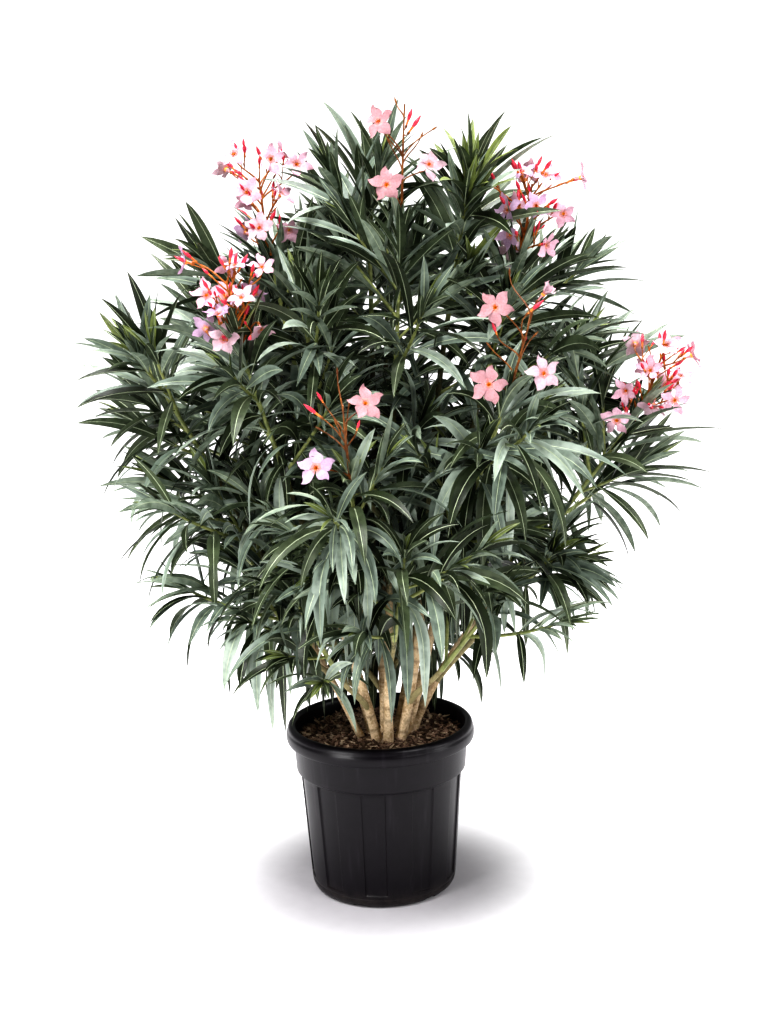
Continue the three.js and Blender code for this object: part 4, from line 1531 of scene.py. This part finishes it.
@dataclass
class Blossom:
    """Every flower head, kept as petals, throats, buds and russet stalks."""

    petals: Joined = field(default_factory=Joined)
    throats: Joined = field(default_factory=Joined)
    buds: Joined = field(default_factory=Joined)
    stalks: Joined = field(default_factory=Joined)
    radius: float = 32.0
    tube: float = 17.0
    bud_length: float = 34.0
    bud_radius: float = 3.6
    bare_stalks: int = 9
    petals_each: int = 5
    threads_each: int = 10
    round_petal: tuple[float, ...] = (2.8, 6.2, 10.2, 13.0, 10.2, 2.6)  # half widths to the tip
    pointed_petal: tuple[float, ...] = (3.6, 8.6, 11.4, 10.2, 6.0, 0.7)
    random: np.random.Generator = field(default_factory=np.random.default_rng)  # one a head
    stalk_tone: int = BROWN_STALK

    @staticmethod
    def _frame(facing: Array, turn: float) -> Array:
        """Three unit directions, one a row, the last along the facing and turned round it."""
        third = unit(np.asarray(facing, float))
        first = across(third, turn)
        return np.array([first, np.cross(third, first), third])

    def _flower(self, centre: Array, facing: Array, size: float, tone: Optional[int] = None,
                closing: float = 0.0, breadth: float = 1.0) -> None:
        """Adds one open flower.

        Args:
            centre: Where its throat opens.
            facing: The direction that it faces.
            size: Its size against the common one.
            tone: The petals' material, or any.
            closing: How far the petals stand up from flat, from 0 to 1.
            breadth: The petals' width against the common one.
        """
        random = self.random
        frame = self._frame(facing, random.uniform(0, 2))
        tone = int(random.choice(3, p=FLOWER_SHARES)) if tone is None else tone
        shapes = np.array([self.round_petal, self.pointed_petal])
        half = mix(*shapes, random.uniform(0.1, 0.9)) * breadth
        for i in range(self.petals_each):
            petal = self._petal(size, closing + random.uniform(-0.1, 0.15), half)
            turn = i * FULL_TURN / self.petals_each + random.normal(0, 0.07)
            spin = Matrix.Rotation(turn, 3, "Z")
            points = petal @ np.array(spin.transposed()) @ frame + centre
            faces, is_heart = self._petal_faces()
            self.petals.add(points, faces, np.where(is_heart, HEART, tone))
        self._throat(centre, frame, size)

    def _petal(self, size: float, closing: float, half: Array) -> Array:
        """Shapes one petal that points along +X, skewed as in a pinwheel.

        Args:
            size: Its size against the common one.
            closing: How far it stands up from flat, from 0 to 1.
            half: Its half widths from foot to tip.

        Returns:
            Its corners: the upper face's, then those of the back inside its edge.
        """
        random = self.random
        along = np.array([0.0, 0.2, 0.42, 0.64, 0.84, 1.0])
        half = half * random.uniform(0.85, 1.12)
        side = np.array([-1.0, -0.5, 0.0, 0.5, 1.0])
        a, s = np.meshgrid(along, side, indexing="ij")
        reach = (self.radius - 3.0) * random.uniform(0.88, 1.06)
        x = 3.5 + reach * a + 3.2 * s * a**2
        y = s * half[:, None] + 3.0 * a**2
        curl = random.uniform(0.3, 2.1)
        z = 7.0 * a - curl * 7.0 * a**2.4 + 2.6 * s**2 * a + 2.4 * s * a * random.uniform(0.6, 1.3)
        z += 2.4 * s * a * np.sin(6 * a + 2 * s + random.uniform(0, 6))
        lean = closing * 1.15
        x, z = x * math.cos(lean) - z * math.sin(lean), x * math.sin(lean) + z * math.cos(lean)
        top = np.stack([x, y, z], -1)
        under = top[1:-1, 1:-1] - np.array([0, 0, 0.7])
        return np.concatenate([top.reshape(-1, 3), under.reshape(-1, 3)]) * size

    @staticmethod
    def _petal_faces() -> tuple[Array, Array]:
        """Lists a petal's faces.

        Returns:
            Its faces, and which of them are its deeper coloured heart.
        """
        rows, columns = 6, 5
        faces, heart = [], []

        def under(i: int, j: int) -> int:
            """The corner below, or the shared one on the rim."""
            inner = 0 < i < rows - 1 and 0 < j < columns - 1
            return rows * columns + (i - 1) * (columns - 2) + j - 1 if inner else i * columns + j

        for i in range(rows - 1):
            for j in range(columns - 1):
                a, b = i * columns + j, (i + 1) * columns + j
                faces.append([a, b, b + 1, a + 1])
                faces.append([under(i, j), under(i, j + 1), under(i + 1, j + 1), under(i + 1, j)])
                heart += [i == 0, i == 0]
        return np.array(faces), np.array(heart)

    def _throat(self, centre: Array, frame: Array, size: float) -> None:
        """Adds the funnel behind a flower, its orange inside and the threads in it.

        Args:
            centre: Where it opens.
            frame: The flower's directions.
            size: The flower's size against the common one.
        """
        sides = 8
        heights = np.array([-self.tube - 4, -self.tube, -self.tube * 0.45, -3.0, 0.8, -3.5, -7.0])
        radii = np.array([1.0, 1.7, 2.4, 4.6, 5.6, 3.0, 0.8])
        turns = ring_turns(sides)
        ring = np.stack([np.cos(turns), np.sin(turns), np.zeros(sides)], -1)
        points = ring[None] * radii[:, None, None] + np.array([0, 0, 1]) * heights[:, None, None]
        faces = tube_faces(len(heights), sides)
        tones = np.where(np.arange(len(faces)) < sides * 3, 2, 0)  # pink outside, orange inside
        self.throats.add(points.reshape(-1, 3) * size @ frame + centre, faces, tones)
        spike = np.array([[0, -0.9, 0], [0, 0.9, 0], [-0.8, 0, 1.0], [0.5, 0, 6.5]])
        spike_faces = np.array([[0, 1, 3, 3], [1, 2, 3, 3], [2, 0, 3, 3], [0, 2, 1, 1]])
        for i in range(self.threads_each):
            turn = i * FULL_TURN / self.threads_each + self.random.normal(0, 0.1)
            tilt = Matrix.Rotation(self.random.uniform(-0.1, 0.5), 3, "Y")
            local = np.array([tilt @ Vector(p) for p in spike]) + np.array([4.2, 0, 1.2])
            spin = np.array(Matrix.Rotation(turn, 3, "Z").transposed())
            self.throats.add(local @ spin * size @ frame + centre, spike_faces, 1)

    @staticmethod
    def _lathe(start: Array, facing: Array, stations: list[tuple[float, float]], sides: int,
               joined: Joined, tones: Numbers) -> None:
        """Adds a round shape by its heights and radii along the direction that it points in."""
        table = np.array(stations)
        centres = start + unit(np.asarray(facing, float)) * table[:, :1]
        joined.add(tube_points(centres, table[:, 1], sides), tube_faces(len(table), sides), tones)

    def _bud(self, start: Array, facing: Array, size: float) -> None:
        """Adds a pointed bud: an orange base that swells into a crimson spindle.

        Args:
            start: Its foot.
            facing: The direction that it points in.
            size: Its size against the common one.
        """
        long, wide = self.bud_length * size, self.bud_radius * size**0.7
        shape = ((0, 0.45), (0.2, 0.5), (0.38, 0.62), (0.55, 1.0), (0.7, 0.95), (0.86, 0.55),
                 (1, 0.08))
        sides = 6
        faces = (len(shape) - 1) * sides + 2 * (sides - 2)
        tones = np.where(np.arange(faces) < 2 * sides, 1, 0)
        stations = [(height * long, radius * wide) for height, radius in shape]
        self._lathe(start, facing, stations, sides, self.buds, tones)
        self._calyx(start, facing, wide * 0.62)

    def _calyx(self, start: Array, facing: Array, radius: float) -> None:
        """Adds the small russet cup that holds a bud or a flower."""
        stations = [(-2.5, 0.7), (-0.5, radius), (3.0, radius * 1.15), (5.5, radius * 0.5)]
        self._lathe(start, facing, stations, 5, self.stalks, self.stalk_tone)

    def _stalk(self, path: Sweep, start_radius: float, end_radius: float) -> None:
        """Adds a stalk along a path."""
        rings, sides = 7, 5
        shares = np.linspace(0, 1, rings)
        radii = mix(start_radius, end_radius, shares) * (1 + 0.12 * np.sin(shares * 21))
        points = tube_points(path.points(shares), radii, sides)
        self.stalks.add(points, tube_faces(rings, sides), self.stalk_tone)

    def _finish_stalk(self, end: Array, facing: Array, bloom: Bloom, size: float,
                      tone: Optional[int] = None) -> None:
        """Puts what it carries on the end of a stalk.

        Args:
            end: The stalk's end.
            facing: The direction that what it carries faces.
            bloom: What it carries.
            size: The size of that against the common one.
            tone: The petals' material, or any.
        """
        facing = unit(np.asarray(facing, float))
        if bloom in (FLOWER, FADED):
            self._calyx(end - facing * (self.tube + 3) * size, facing, 2.6)
        if bloom is FLOWER:
            self._flower(end, facing, size, tone)
        elif bloom is FADED:
            self._flower(end, facing, size * 0.75, BLUSH, 0.85)
        elif bloom is BUD:
            self._bud(end, facing, size)
        else:
            self._lathe(end, facing, [(0, 1.2), (3, 2.1), (7, 1.9), (13, 0.3)], 5, self.stalks,
                        self.stalk_tone)

    def open_head(self, tip: Array, axis: Array, rise: float, rays: Iterable[Ray]) -> None:
        """Adds a head of a few single flowers on a tall stalk.

        Args:
            tip: The tip of the shoot.
            axis: The shoot's direction there.
            rise: How tall the stalk is.
            rays: What leaves it.
        """
        self.stalk_tone = BROWN_STALK
        root, up = tip - axis * 8, unit(mix(axis, UP, 0.15))
        top = root + up * rise
        main = Sweep(root, axis, top, unit(up + np.array([0.03, 0, 0.1])))
        self._stalk(main, 3.0, 1.5)
        for ray in rays:
            start = main.point(min(0.98, ray.rise))
            end = tip + np.array(ray.end, float)
            facing = unit(np.array(ray.facing, float))
            is_flower = ray.bloom in (FLOWER, FADED)
            holds = end - facing * (self.tube + 2) * ray.size if is_flower else end
            leave = unit(up * 0.7 + unit(holds - start))
            self._stalk(Sweep(start, leave, holds, facing), 1.7, 1.1)
            self._finish_stalk(end, facing, ray.bloom, ray.size, ray.tone)

    def dense_head(self, tip: Array, axis: Array, rise: float, places: Iterable[Place]) -> None:
        """Adds a full head: flowers in their places, more of them behind, and buds among them.

        Args:
            tip: The tip of the shoot.
            axis: The shoot's direction there.
            rise: How tall the head is.
            places: Where the flowers in front open.
        """
        random = self.random
        self.stalk_tone = ORANGE_STALK
        root, up = tip - axis * 8, unit(mix(axis, UP, 0.4))
        main = Sweep(root, axis, root + up * rise * 0.78, up)
        self._stalk(main, 3.6, 1.7)
        heart = root + up * rise * 0.45
        front = [np.array(place, float) for place in places]
        behind = [heart + (heart - place) * [1, 1, 0] * random.uniform(0.7, 1.1) + [0, 30, 0]
                  + (place - heart) * [0, 0, 1] for place in front[::2]]
        for index, place in enumerate(front + behind):
            size = random.uniform(0.84, 1.0)
            towards = -0.45 if index < len(front) else 0.6
            facing = unit(place - heart) * [0.8, 0.6, 0.4] + [0, towards, 0.15]
            facing = unit(facing + random.normal(0, 0.32, 3))
            holds = place - facing * (self.tube + 2) * size
            height = float(np.clip((place - root) @ up / (rise * 0.78) - 0.35, 0.08, 0.95))
            start = main.point(height)
            middle = start + (holds - start) * 0.6
            leave, arrive = unit(holds - start + up * 20), unit(facing + up * 0.3)
            self._stalk(Sweep(start, leave, holds, arrive), 2.1, 1.3)
            self._calyx(holds, facing, 2.8)
            closing, breadth = random.uniform(0, 0.3), random.uniform(0.78, 1.05)
            self._flower(place, facing, size, None, closing, breadth)
            self._buds(middle, unit(facing + up))
        for i in range(self.bare_stalks):
            start = main.point(mix(0.15, 0.95, i / (self.bare_stalks - 1)))
            aside = across(up, i * SIDE_TURN + random.uniform(-0.4, 0.4))
            facing = unit(up * random.uniform(0.7, 1.5) + aside)
            end = start + facing * random.uniform(26, 52)
            self._stalk(Sweep(start, unit(aside + up), end, facing), 1.9, 1.2)
            kind = BUD if i % 3 else SPENT
            self._finish_stalk(end, facing, kind, random.uniform(0.7, 1.2))

    def _buds(self, start: Array, axis: Array) -> None:
        """Adds two or three buds of unlike age that leave a stalk together.

        Args:
            start: Where they leave it.
            axis: The direction that they lean away from.
        """
        random = self.random
        for _ in range(random.integers(2, 4)):
            lean = math.radians(random.uniform(8, 40))
            aside = across(axis, random.uniform(0, 6.3))
            facing = unit(axis * math.cos(lean) + aside * math.sin(lean))
            end = start + facing * random.uniform(16, 36)
            self._stalk(Sweep(start, axis, end, facing), 1.1, 0.9)
            self._finish_stalk(end, facing, BUD, random.uniform(0.55, 1.2))


# ---- The pot and its soil ----


class Workbench:
    """One mesh that is shaped in edit mode with Blender's own tools."""

    def __init__(self, piece: Object) -> None:
        """Opens the object that was just added."""
        self.piece = piece
        bpy.ops.object.mode_set(mode="EDIT")
        bpy.ops.mesh.select_mode(type="FACE")

    def select(self, test: Callable[[Vector, Vector], bool]) -> None:
        """Selects some of the faces.

        Args:
            test: What a face's middle and normal have to pass.
        """
        body = bmesh.from_edit_mesh(self.piece.data)
        body.normal_update()
        for face in body.faces:
            face.select_set(test(face.calc_center_median(), face.normal))
        body.select_flush_mode()
        bmesh.update_edit_mesh(self.piece.data)

    def lift(self, rise: float, scale: float) -> None:
        """Extrudes the selected cap, raises it and draws it in or out round the axis."""
        bpy.ops.mesh.extrude_region_move(TRANSFORM_OT_translate={"value": (0, 0, rise)})
        bpy.ops.transform.resize(value=(scale, scale, 1), center_override=(0, 0, 0))

    def close(self) -> None:
        """Points every face outwards and leaves edit mode."""
        bpy.ops.mesh.select_all(action="SELECT")
        bpy.ops.mesh.normals_make_consistent(inside=False)
        bpy.ops.object.mode_set(mode="OBJECT")

    def apply(self, kind: str, **settings: Any) -> None:
        """Adds a modifier of a kind with these settings and applies it."""
        modifier = self.piece.modifiers.new(kind.lower(), kind)
        for key, value in settings.items():
            setattr(modifier, key, value)
        bpy.ops.object.modifier_apply(modifier=modifier.name)


def new_disc(name: str, radius: float, corners: int) -> Object:
    """Adds a flat disc at the origin, alone selected.

    Args:
        name: Its name.
        radius: Its radius in metres.
        corners: How many corners it has.

    Returns:
        The disc.
    """
    bpy.ops.object.select_all(action="DESELECT")
    bpy.ops.mesh.primitive_circle_add(vertices=corners, radius=radius, fill_type="NGON")
    disc = bpy.context.object
    disc.name = disc.data.name = name
    return disc


@dataclass(frozen=True)
class NurseryPot:
    """A round black pot with a rolled rim, a smooth band and flutes down its body."""

    outline: tuple[tuple[float, float], ...] = (
        (138, 0), (142.5, 0.7), (147.2, 2.9), (151, 6.6), (153.4, 11), (154.5, 16), (154.9, 20),
        (154.3, 21.4), (155.1, 22.8), (155.4, 27), (156, 36), (160, 90), (164.3, 150), (168.3, 205),
        (171.6, 246), (172.5, 256), (173.4, 258.6), (178.2, 260.4), (180.4, 262), (181, 265),
        (181.5, 273), (184.2, 315), (184.7, 320.5), (186.4, 322.3), (193, 322.4), (197.6, 324),
        (199.4, 327.6), (200, 333), (199.8, 341), (198.8, 345), (197.4, 347.4), (197.2, 350),
        (196.2, 354.2), (193.6, 357.8), (190, 359.7), (186.5, 360), (182.8, 358.9), (180.4, 355.6),
        (179.4, 350), (179, 340), (178.6, 322), (175.2, 264), (173.6, 259), (166, 256.5),
        (162.6, 210), (144.6, 7.5), (142, 6),
    )
    corners: int = 120
    flutes: int = 10
    panel: float = 18.0  # degrees that each sunk panel takes, and each raised one between
    first_panel: float = -42.0
    flute_depth: float = 3.2
    foot: float = 27.0
    top: float = 256.0
    panel_margin: float = 1.4  # degrees of a panel that its sloping edges take at each side
    notches: int = 6
    first_notch: float = -20.0
    notch_radius: float = 154.0
    notch: Place = (26.0, 28.0, 15.0)

    def build(self, materials: list[Material]) -> Object:
        """Builds the pot.

        Args:
            materials: The plastic.

        Returns:
            The pot, at the origin.
        """
        first_radius, _ = self.outline[0]
        pot = new_disc("nursery_pot", first_radius * MM, self.corners)
        bench = Workbench(pot)
        bpy.ops.mesh.select_all(action="SELECT")
        for (radius, height), (next_radius, next_height) in zip(self.outline, self.outline[1:]):
            bench.lift((next_height - height) * MM, next_radius / radius)
        self._sink_panels(bench)
        bench.close()
        bench.apply("BOOLEAN", operation="DIFFERENCE", solver="EXACT", object=self._cutter(pot))
        bpy.data.objects.remove(bpy.data.objects["notch_cutter"])
        bench.apply("BEVEL", width=1.1 * MM, segments=2, limit_method="ANGLE",
                    angle_limit=math.radians(42))
        bpy.ops.object.shade_smooth_by_angle(angle=math.radians(38))
        for material in materials:
            pot.data.materials.append(material)
        return pot

    def _is_on_panel(self, middle: Vector, index: int) -> bool:
        """Whether a face with this middle is on the sunk panel of that number."""
        heading = math.degrees(math.atan2(middle.x, -middle.y)) - self.first_panel
        away = abs((heading - index * 360 / self.flutes + 180) % 360 - 180)
        is_wide_of = away >= self.panel / 2 - self.panel_margin
        return not is_wide_of and self.foot < middle.z / MM < self.top

    def _sink_panels(self, bench: Workbench) -> None:
        """Sinks one panel of the outer wall after another, each with sloping edges.

        Args:
            bench: The pot, open for work.
        """
        for index in range(self.flutes):
            bench.select(lambda middle, normal, i=index: self._is_on_panel(middle, i)
                         and normal.x * middle.x + normal.y * middle.y > 0)
            bpy.ops.mesh.inset(thickness=1.3 * MM, depth=0)
            bpy.ops.mesh.inset(thickness=1.5 * MM, depth=-self.flute_depth * MM)

    def _cutter(self, pot: Object) -> Object:
        """Makes the blocks that cut the notches in the bottom edge.

        Args:
            pot: The pot, which is left alone selected.

        Returns:
            The blocks as one object.
        """
        blocks = []
        for i in range(self.notches):
            heading = self.first_notch + i * 360 / self.notches
            bpy.ops.object.select_all(action="DESELECT")
            bpy.ops.mesh.primitive_cube_add(
                size=1, location=polar(heading, self.notch_radius, 0) * MM,
                rotation=(0, 0, math.radians(heading)), scale=[side * MM for side in self.notch],
            )
            blocks.append(bpy.context.object)
        for block in blocks:
            block.select_set(True)
        bpy.ops.object.join()
        bpy.context.object.name = "notch_cutter"
        cutter = bpy.context.object
        bpy.ops.object.select_all(action="DESELECT")
        bpy.context.view_layer.objects.active = pot
        pot.select_set(True)
        return cutter


@dataclass(frozen=True)
class Compost:
    """Bark compost: a rough bed up to the stems' feet, with flakes of bark lying on it."""

    outline: tuple[tuple[float, float], ...] = (
        (143.6, 7.2), (164.2, 256), (173.2, 262), (178, 322),
    )
    corners: int = 64
    rings: int = 9
    ring_width: float = 17.0
    relief: float = 9.0
    lump: float = 16.0
    flakes: int = 2600
    flake_radius: float = 174.0  # how far from the axis they lie
    flake_shares: Place = (0.45, 0.38, 0.17)  # dark, brown and pale
    seed: int = 77

    def bed(self, material: Material) -> Object:
        """Builds the bed that fills the pot.

        Args:
            material: The compost.

        Returns:
            The bed, at the origin.
        """
        (radius, height), *rest = self.outline
        bed = new_disc("compost_bed", radius * MM, self.corners)
        bench = Workbench(bed)
        bpy.ops.mesh.select_all(action="SELECT")
        bpy.ops.transform.translate(value=(0, 0, height * MM))
        for next_radius, next_height in rest:
            bench.lift((next_height - height) * MM, next_radius / radius)
            radius, height = next_radius, next_height
        for _ in range(self.rings):
            bpy.ops.mesh.inset(thickness=self.ring_width * MM, depth=0)
        bpy.ops.mesh.poke()
        bench.select(lambda middle, normal: middle.z / MM > height - 1 and normal.z > 0.5)
        bpy.ops.mesh.subdivide(number_cuts=2)
        bench.close()
        inner = [v.index for v in bed.data.vertices
                 if v.co.z / MM > height - 1 and math.hypot(v.co.x, v.co.y) / MM < radius - 2]
        bed.vertex_groups.new(name="top").add(inner, 1.0, "REPLACE")
        clouds = bpy.data.textures.new("compost_lumps", "CLOUDS")
        clouds.noise_scale = self.lump * MM
        bench.apply("DISPLACE", texture=clouds, vertex_group="top", direction="Z", mid_level=0.35,
                    strength=self.relief * MM)
        bpy.data.textures.remove(clouds)
        bpy.ops.object.shade_smooth_by_angle(angle=math.radians(50))
        bed.data.materials.append(material)
        return bed

    def scattered(self) -> Joined:
        """Scatters flakes of bark of all sizes, at all angles, on the bed.

        Returns:
            The flakes.
        """
        random = np.random.default_rng(self.seed)
        count = self.flakes
        corners = np.array([[x, y, z] for x in (-1, 1) for y in (-1, 1) for z in (-1, 1)], float)
        faces = np.array([[0, 1, 3, 2], [4, 6, 7, 5], [0, 4, 5, 1], [2, 3, 7, 6], [0, 2, 6, 4],
                          [1, 5, 7, 3]])
        size = np.stack([random.gamma(3.2, 1.45, count) + 2, random.gamma(3, 0.65, count) + 1.0,
                         random.uniform(0.5, 1.5, count)], -1)
        jitter = random.uniform(0.45, 1.25, (count, 8, 3))
        local = corners[None] * size[:, None] * jitter
        pitch, yaw = random.normal(0, 0.34, count), random.uniform(0, FULL_TURN, count)
        axis_y = np.broadcast_to([0.0, 1.0, 0.0], local.shape)
        axis_z = np.broadcast_to(UP, local.shape)
        local = turned(turned(local, axis_y, pitch[:, None]), axis_z, yaw[:, None])
        out = self.flake_radius * np.sqrt(random.uniform(0, 1, count))
        heading = random.uniform(0, FULL_TURN, count)
        height = SOIL_LEVEL + 0.5 + random.gamma(2.0, 1.5, count) + 4 * np.exp(-((out / 90) ** 2))
        place = np.stack([out * np.sin(heading), -out * np.cos(heading), height], -1)
        chips = Joined()
        tones = random.choice(3, size=(count, 1), p=self.flake_shares)
        chips.add(local + place[:, None], faces, tones)
        return chips


# ---- The studio ----


@dataclass(frozen=True)
class Softbox:
    """A square lamp that points at the plant."""

    name: str
    place: Place
    size: float
    power: float
    aim: Place = (0.0, 0.0, 0.8)
    spread: float = 180.0  # degrees


@dataclass(frozen=True)
class Studio:
    """The pale floor, the soft light and the camera."""

    camera_place: Place = (0.0204, -2.8696, 1.3302)
    pitch: float = 0.1799  # radians that the camera looks down
    roll: float = -0.027
    focal_pixels: float = 1406.18
    long_side: float = 1024.0
    sensor: float = 36.0
    sky_front: float = 0.06
    sky_back: float = 0.3
    sky_seen: float = 1.1  # the surround's strength where the camera sees it
    floor_radius: float = 14.0
    floor_glow: float = 0.02
    floor_fade: tuple[float, float] = (0.16, 0.53)
    lamps: tuple[Softbox, ...] = (
        Softbox("key", (-1.3, -1.9, 3.8), 1.0, 128),
        Softbox("fill", (2.1, -2.3, 2.4), 1.2, 52),
        Softbox("low", (-1.9, -1.9, 0.9), 0.7, 2.6, (0.0, 0.0, 0.42), 44.0),
        Softbox("side", (2.5, -0.7, 0.7), 0.7, 0.75, (0.0, 0.0, 0.3), 44.0),
        Softbox("top", (0.3, 0.7, 4.1), 2.0, 165),
    )

    def camera(self) -> None:
        """Places the camera."""
        data = bpy.data.cameras.new("camera")
        data.sensor_width = self.sensor
        data.lens = self.focal_pixels / self.long_side * self.sensor
        data.clip_start, data.clip_end = 0.05, 60
        made = linked("camera", data)
        level = Matrix.Rotation(math.pi / 2 - self.pitch, 4, "X")
        made.matrix_world = (
            Matrix.Translation(self.camera_place) @ level @ Matrix.Rotation(self.roll, 4, "Z")
        )
        bpy.context.scene.camera = made

    def floor(self, effects: Effects) -> Object:
        """Builds a wide pale floor that glows further out, so that it ends in white.

        Args:
            effects: The shared node groups.

        Returns:
            The floor.
        """
        floor = new_disc("studio_floor", self.floor_radius, 96)
        paper = PAPER.material(effects)
        nodes = Nodes(paper.node_tree)
        shader = paper.node_tree.nodes["Principled BSDF"]
        where = nodes.add("TexCoord").outputs["Object"]
        away = nodes.add("VectorMath", {0: where}, operation="LENGTH").outputs["Value"]
        far = nodes.ramp(away, *self.floor_fade)
        near = (self.floor_glow, self.floor_glow, self.floor_glow, 1.0)
        nodes.feed(shader.inputs["Emission Color"], nodes.blend(far, near, (1.0, 1.0, 1.0, 1.0)))
        nodes.feed(shader.inputs["Emission Strength"], 1.0)
        floor.data.materials.append(paper)
        return floor

    def light(self) -> None:
        """Lights the scene with a white surround and soft lamps."""
        world = bpy.data.worlds.new("studio_surround")
        bpy.context.scene.world = world
        world.use_nodes = True
        nodes = Nodes(world.node_tree)
        background = world.node_tree.nodes["Background"]
        seen = nodes.add("LightPath").outputs["Is Camera Ray"]
        towards = nodes.add("SeparateXYZ", {0: nodes.add("TexCoord").outputs["Generated"]})
        spread = {"Value": towards.outputs[1], "From Min": -0.75, "From Max": 0.3}
        spread |= {"To Min": self.sky_front, "To Max": self.sky_back}
        sky = nodes.add("MapRange", spread, interpolation_type="SMOOTHSTEP").outputs["Result"]
        seen_or_not = nodes.add("Mix", {0: seen, 2: sky, 3: self.sky_seen}, data_type="FLOAT")
        nodes.feed(background.inputs["Strength"], seen_or_not.outputs[0])
        background.inputs["Color"].default_value = (1, 1, 1, 1)
        for lamp in self.lamps:
            data = bpy.data.lights.new(lamp.name, "AREA")
            data.energy, data.size, data.spread = lamp.power, lamp.size, math.radians(lamp.spread)
            made = linked(lamp.name, data)
            made.location = lamp.place
            aim = Vector(lamp.aim) - Vector(lamp.place)
            made.rotation_euler = aim.to_track_quat("-Z", "Y").to_euler()
        bpy.context.scene.view_settings.view_transform = "Standard"
        bpy.context.scene.view_settings.look = "High Contrast"


# ---- The whole plant ----


@dataclass
class PottedOleander:
    """The plant in its pot, dressed over its solids."""

    effects: Effects
    growth: Growth
    leaf_spare: tuple[Place, Place] = ((-8, 36, 36), (40, 36, 36))  # past the solids' box, in mm
    leaf_pieces: tuple[tuple[str, int], ...] = (
        ("leaves_top", 5), ("leaves_crown", 6), ("leaves_middle", 7), ("leaves_low", 9),
    )  # from the top down, with how many masses each holds

    def __post_init__(self) -> None:
        """Deals the masses out to the leaf pieces by height."""
        order = iter(sorted(MASSES, key=lambda name: -MASSES[name].height))
        self.leaf_groups = {piece: tuple(next(order) for _ in range(count))
                            for piece, count in self.leaf_pieces}

    def _place(self, piece: Object, nodes: Iterable[str]) -> None:
        """Lets a piece ride on the plant's one body and stand for its nodes.

        Args:
            piece: The finished piece.
            nodes: The nodes that it replaces, if any.
        """
        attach(piece, "root")
        if nodes:
            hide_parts(*nodes)
        LOG.info("placed %s", piece.name)

    def pot(self) -> None:
        """Builds the pot and what fills it."""
        plastic = BLACK_PLASTIC.material(self.effects)
        self._place(NurseryPot().build([plastic]), ["pot"])
        compost = Compost()
        dark, brown, pale = (f.material(self.effects) for f in (SOIL_DARK, SOIL_BROWN, SOIL_PALE))
        self._place(compost.bed(dark), ["soil"])
        flakes = compost.scattered().mesh("compost_flakes", (dark, brown, pale), 30)
        self._place(flakes, [])

    def wood(self) -> None:
        """Builds the stems and the boughs."""
        rule = BarkRule()
        sets = (("stems", self.growth.stems, BARK, 14, "stem"),
                ("boughs", self.growth.boughs, GREEN_BARK, 10, "bough"))
        for name, limbs, finish, sides, slot in sets:
            wood = Joined()
            for seed, limb in enumerate(limbs.values()):
                rule.add(limb, wood, seed, sides)
            piece = wood.mesh(name, [finish.material(self.effects)], 60, with_scars=True)
            self._place(piece, [limb.name for limb in limbs.values()])

    def foliage(self, low: Vector, high: Vector) -> None:
        """Builds the leaves and twigs within the solids' box.

        Args:
            low: The box's lowest corner in metres.
            high: Its highest corner.
        """
        past_low, past_high = self.leaf_spare
        reach = (np.array(low) / MM - np.array(past_low), np.array(high) / MM + np.array(past_high))
        materials = [finish.material(self.effects) for finish in LEAF_FINISHES]
        twigs, leaf_count = Joined(), 0
        for piece, names in self.leaf_groups.items():
            leaves = Joined()
            for name in names:
                leaf_count += Tuft(self.growth, name, reach, twigs, leaves).grow()
            nodes = [f"foliage_{name}" for name in names]
            self._place(leaves.mesh(piece, materials, 40), nodes)
        self._place(twigs.mesh("twigs", [TWIG.material(self.effects)], 60), [])
        LOG.info("%d leaves", leaf_count)

    def blossom(self) -> None:
        """Builds the flower heads on the tips of their shoots."""
        blossom = Blossom()
        for index, (name, mass) in enumerate(MASSES.items()):
            _, tip, axis, _ = self.growth.main_shoot(mass)
            blossom.random = np.random.default_rng(400 + index)
            if mass.open:
                blossom.open_head(tip, axis, mass.open, OPEN_HEADS[name])
            elif mass.dense:
                blossom.dense_head(tip, axis, mass.dense, DENSE_HEADS[name])
        kinds = (("petals", blossom.petals, PETAL_FINISHES),
                 ("buds", blossom.buds, (BUD_RED, BUD_ORANGE)),
                 ("throats", blossom.throats, (THROAT, THREADS, PETAL_FINISHES[HEART])),
                 ("flower_stalks", blossom.stalks, (STALK_BROWN, STALK_ORANGE)))
        for name, joined, finishes in kinds:
            piece = joined.mesh(name, [finish.material(self.effects) for finish in finishes], 60)
            self._place(piece, [])


def main() -> None:
    """Builds the plant and the studio."""
    logging.basicConfig(level=logging.INFO, format="%(name)s: %(message)s")
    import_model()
    low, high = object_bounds()
    plant = PottedOleander(Effects(), Growth())
    plant.pot()
    plant.wood()
    plant.foliage(low, high)
    plant.blossom()
    studio = Studio()
    studio.floor(plant.effects)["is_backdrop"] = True
    studio.light()
    studio.camera()
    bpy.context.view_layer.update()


if __name__ == "__main__":
    main()
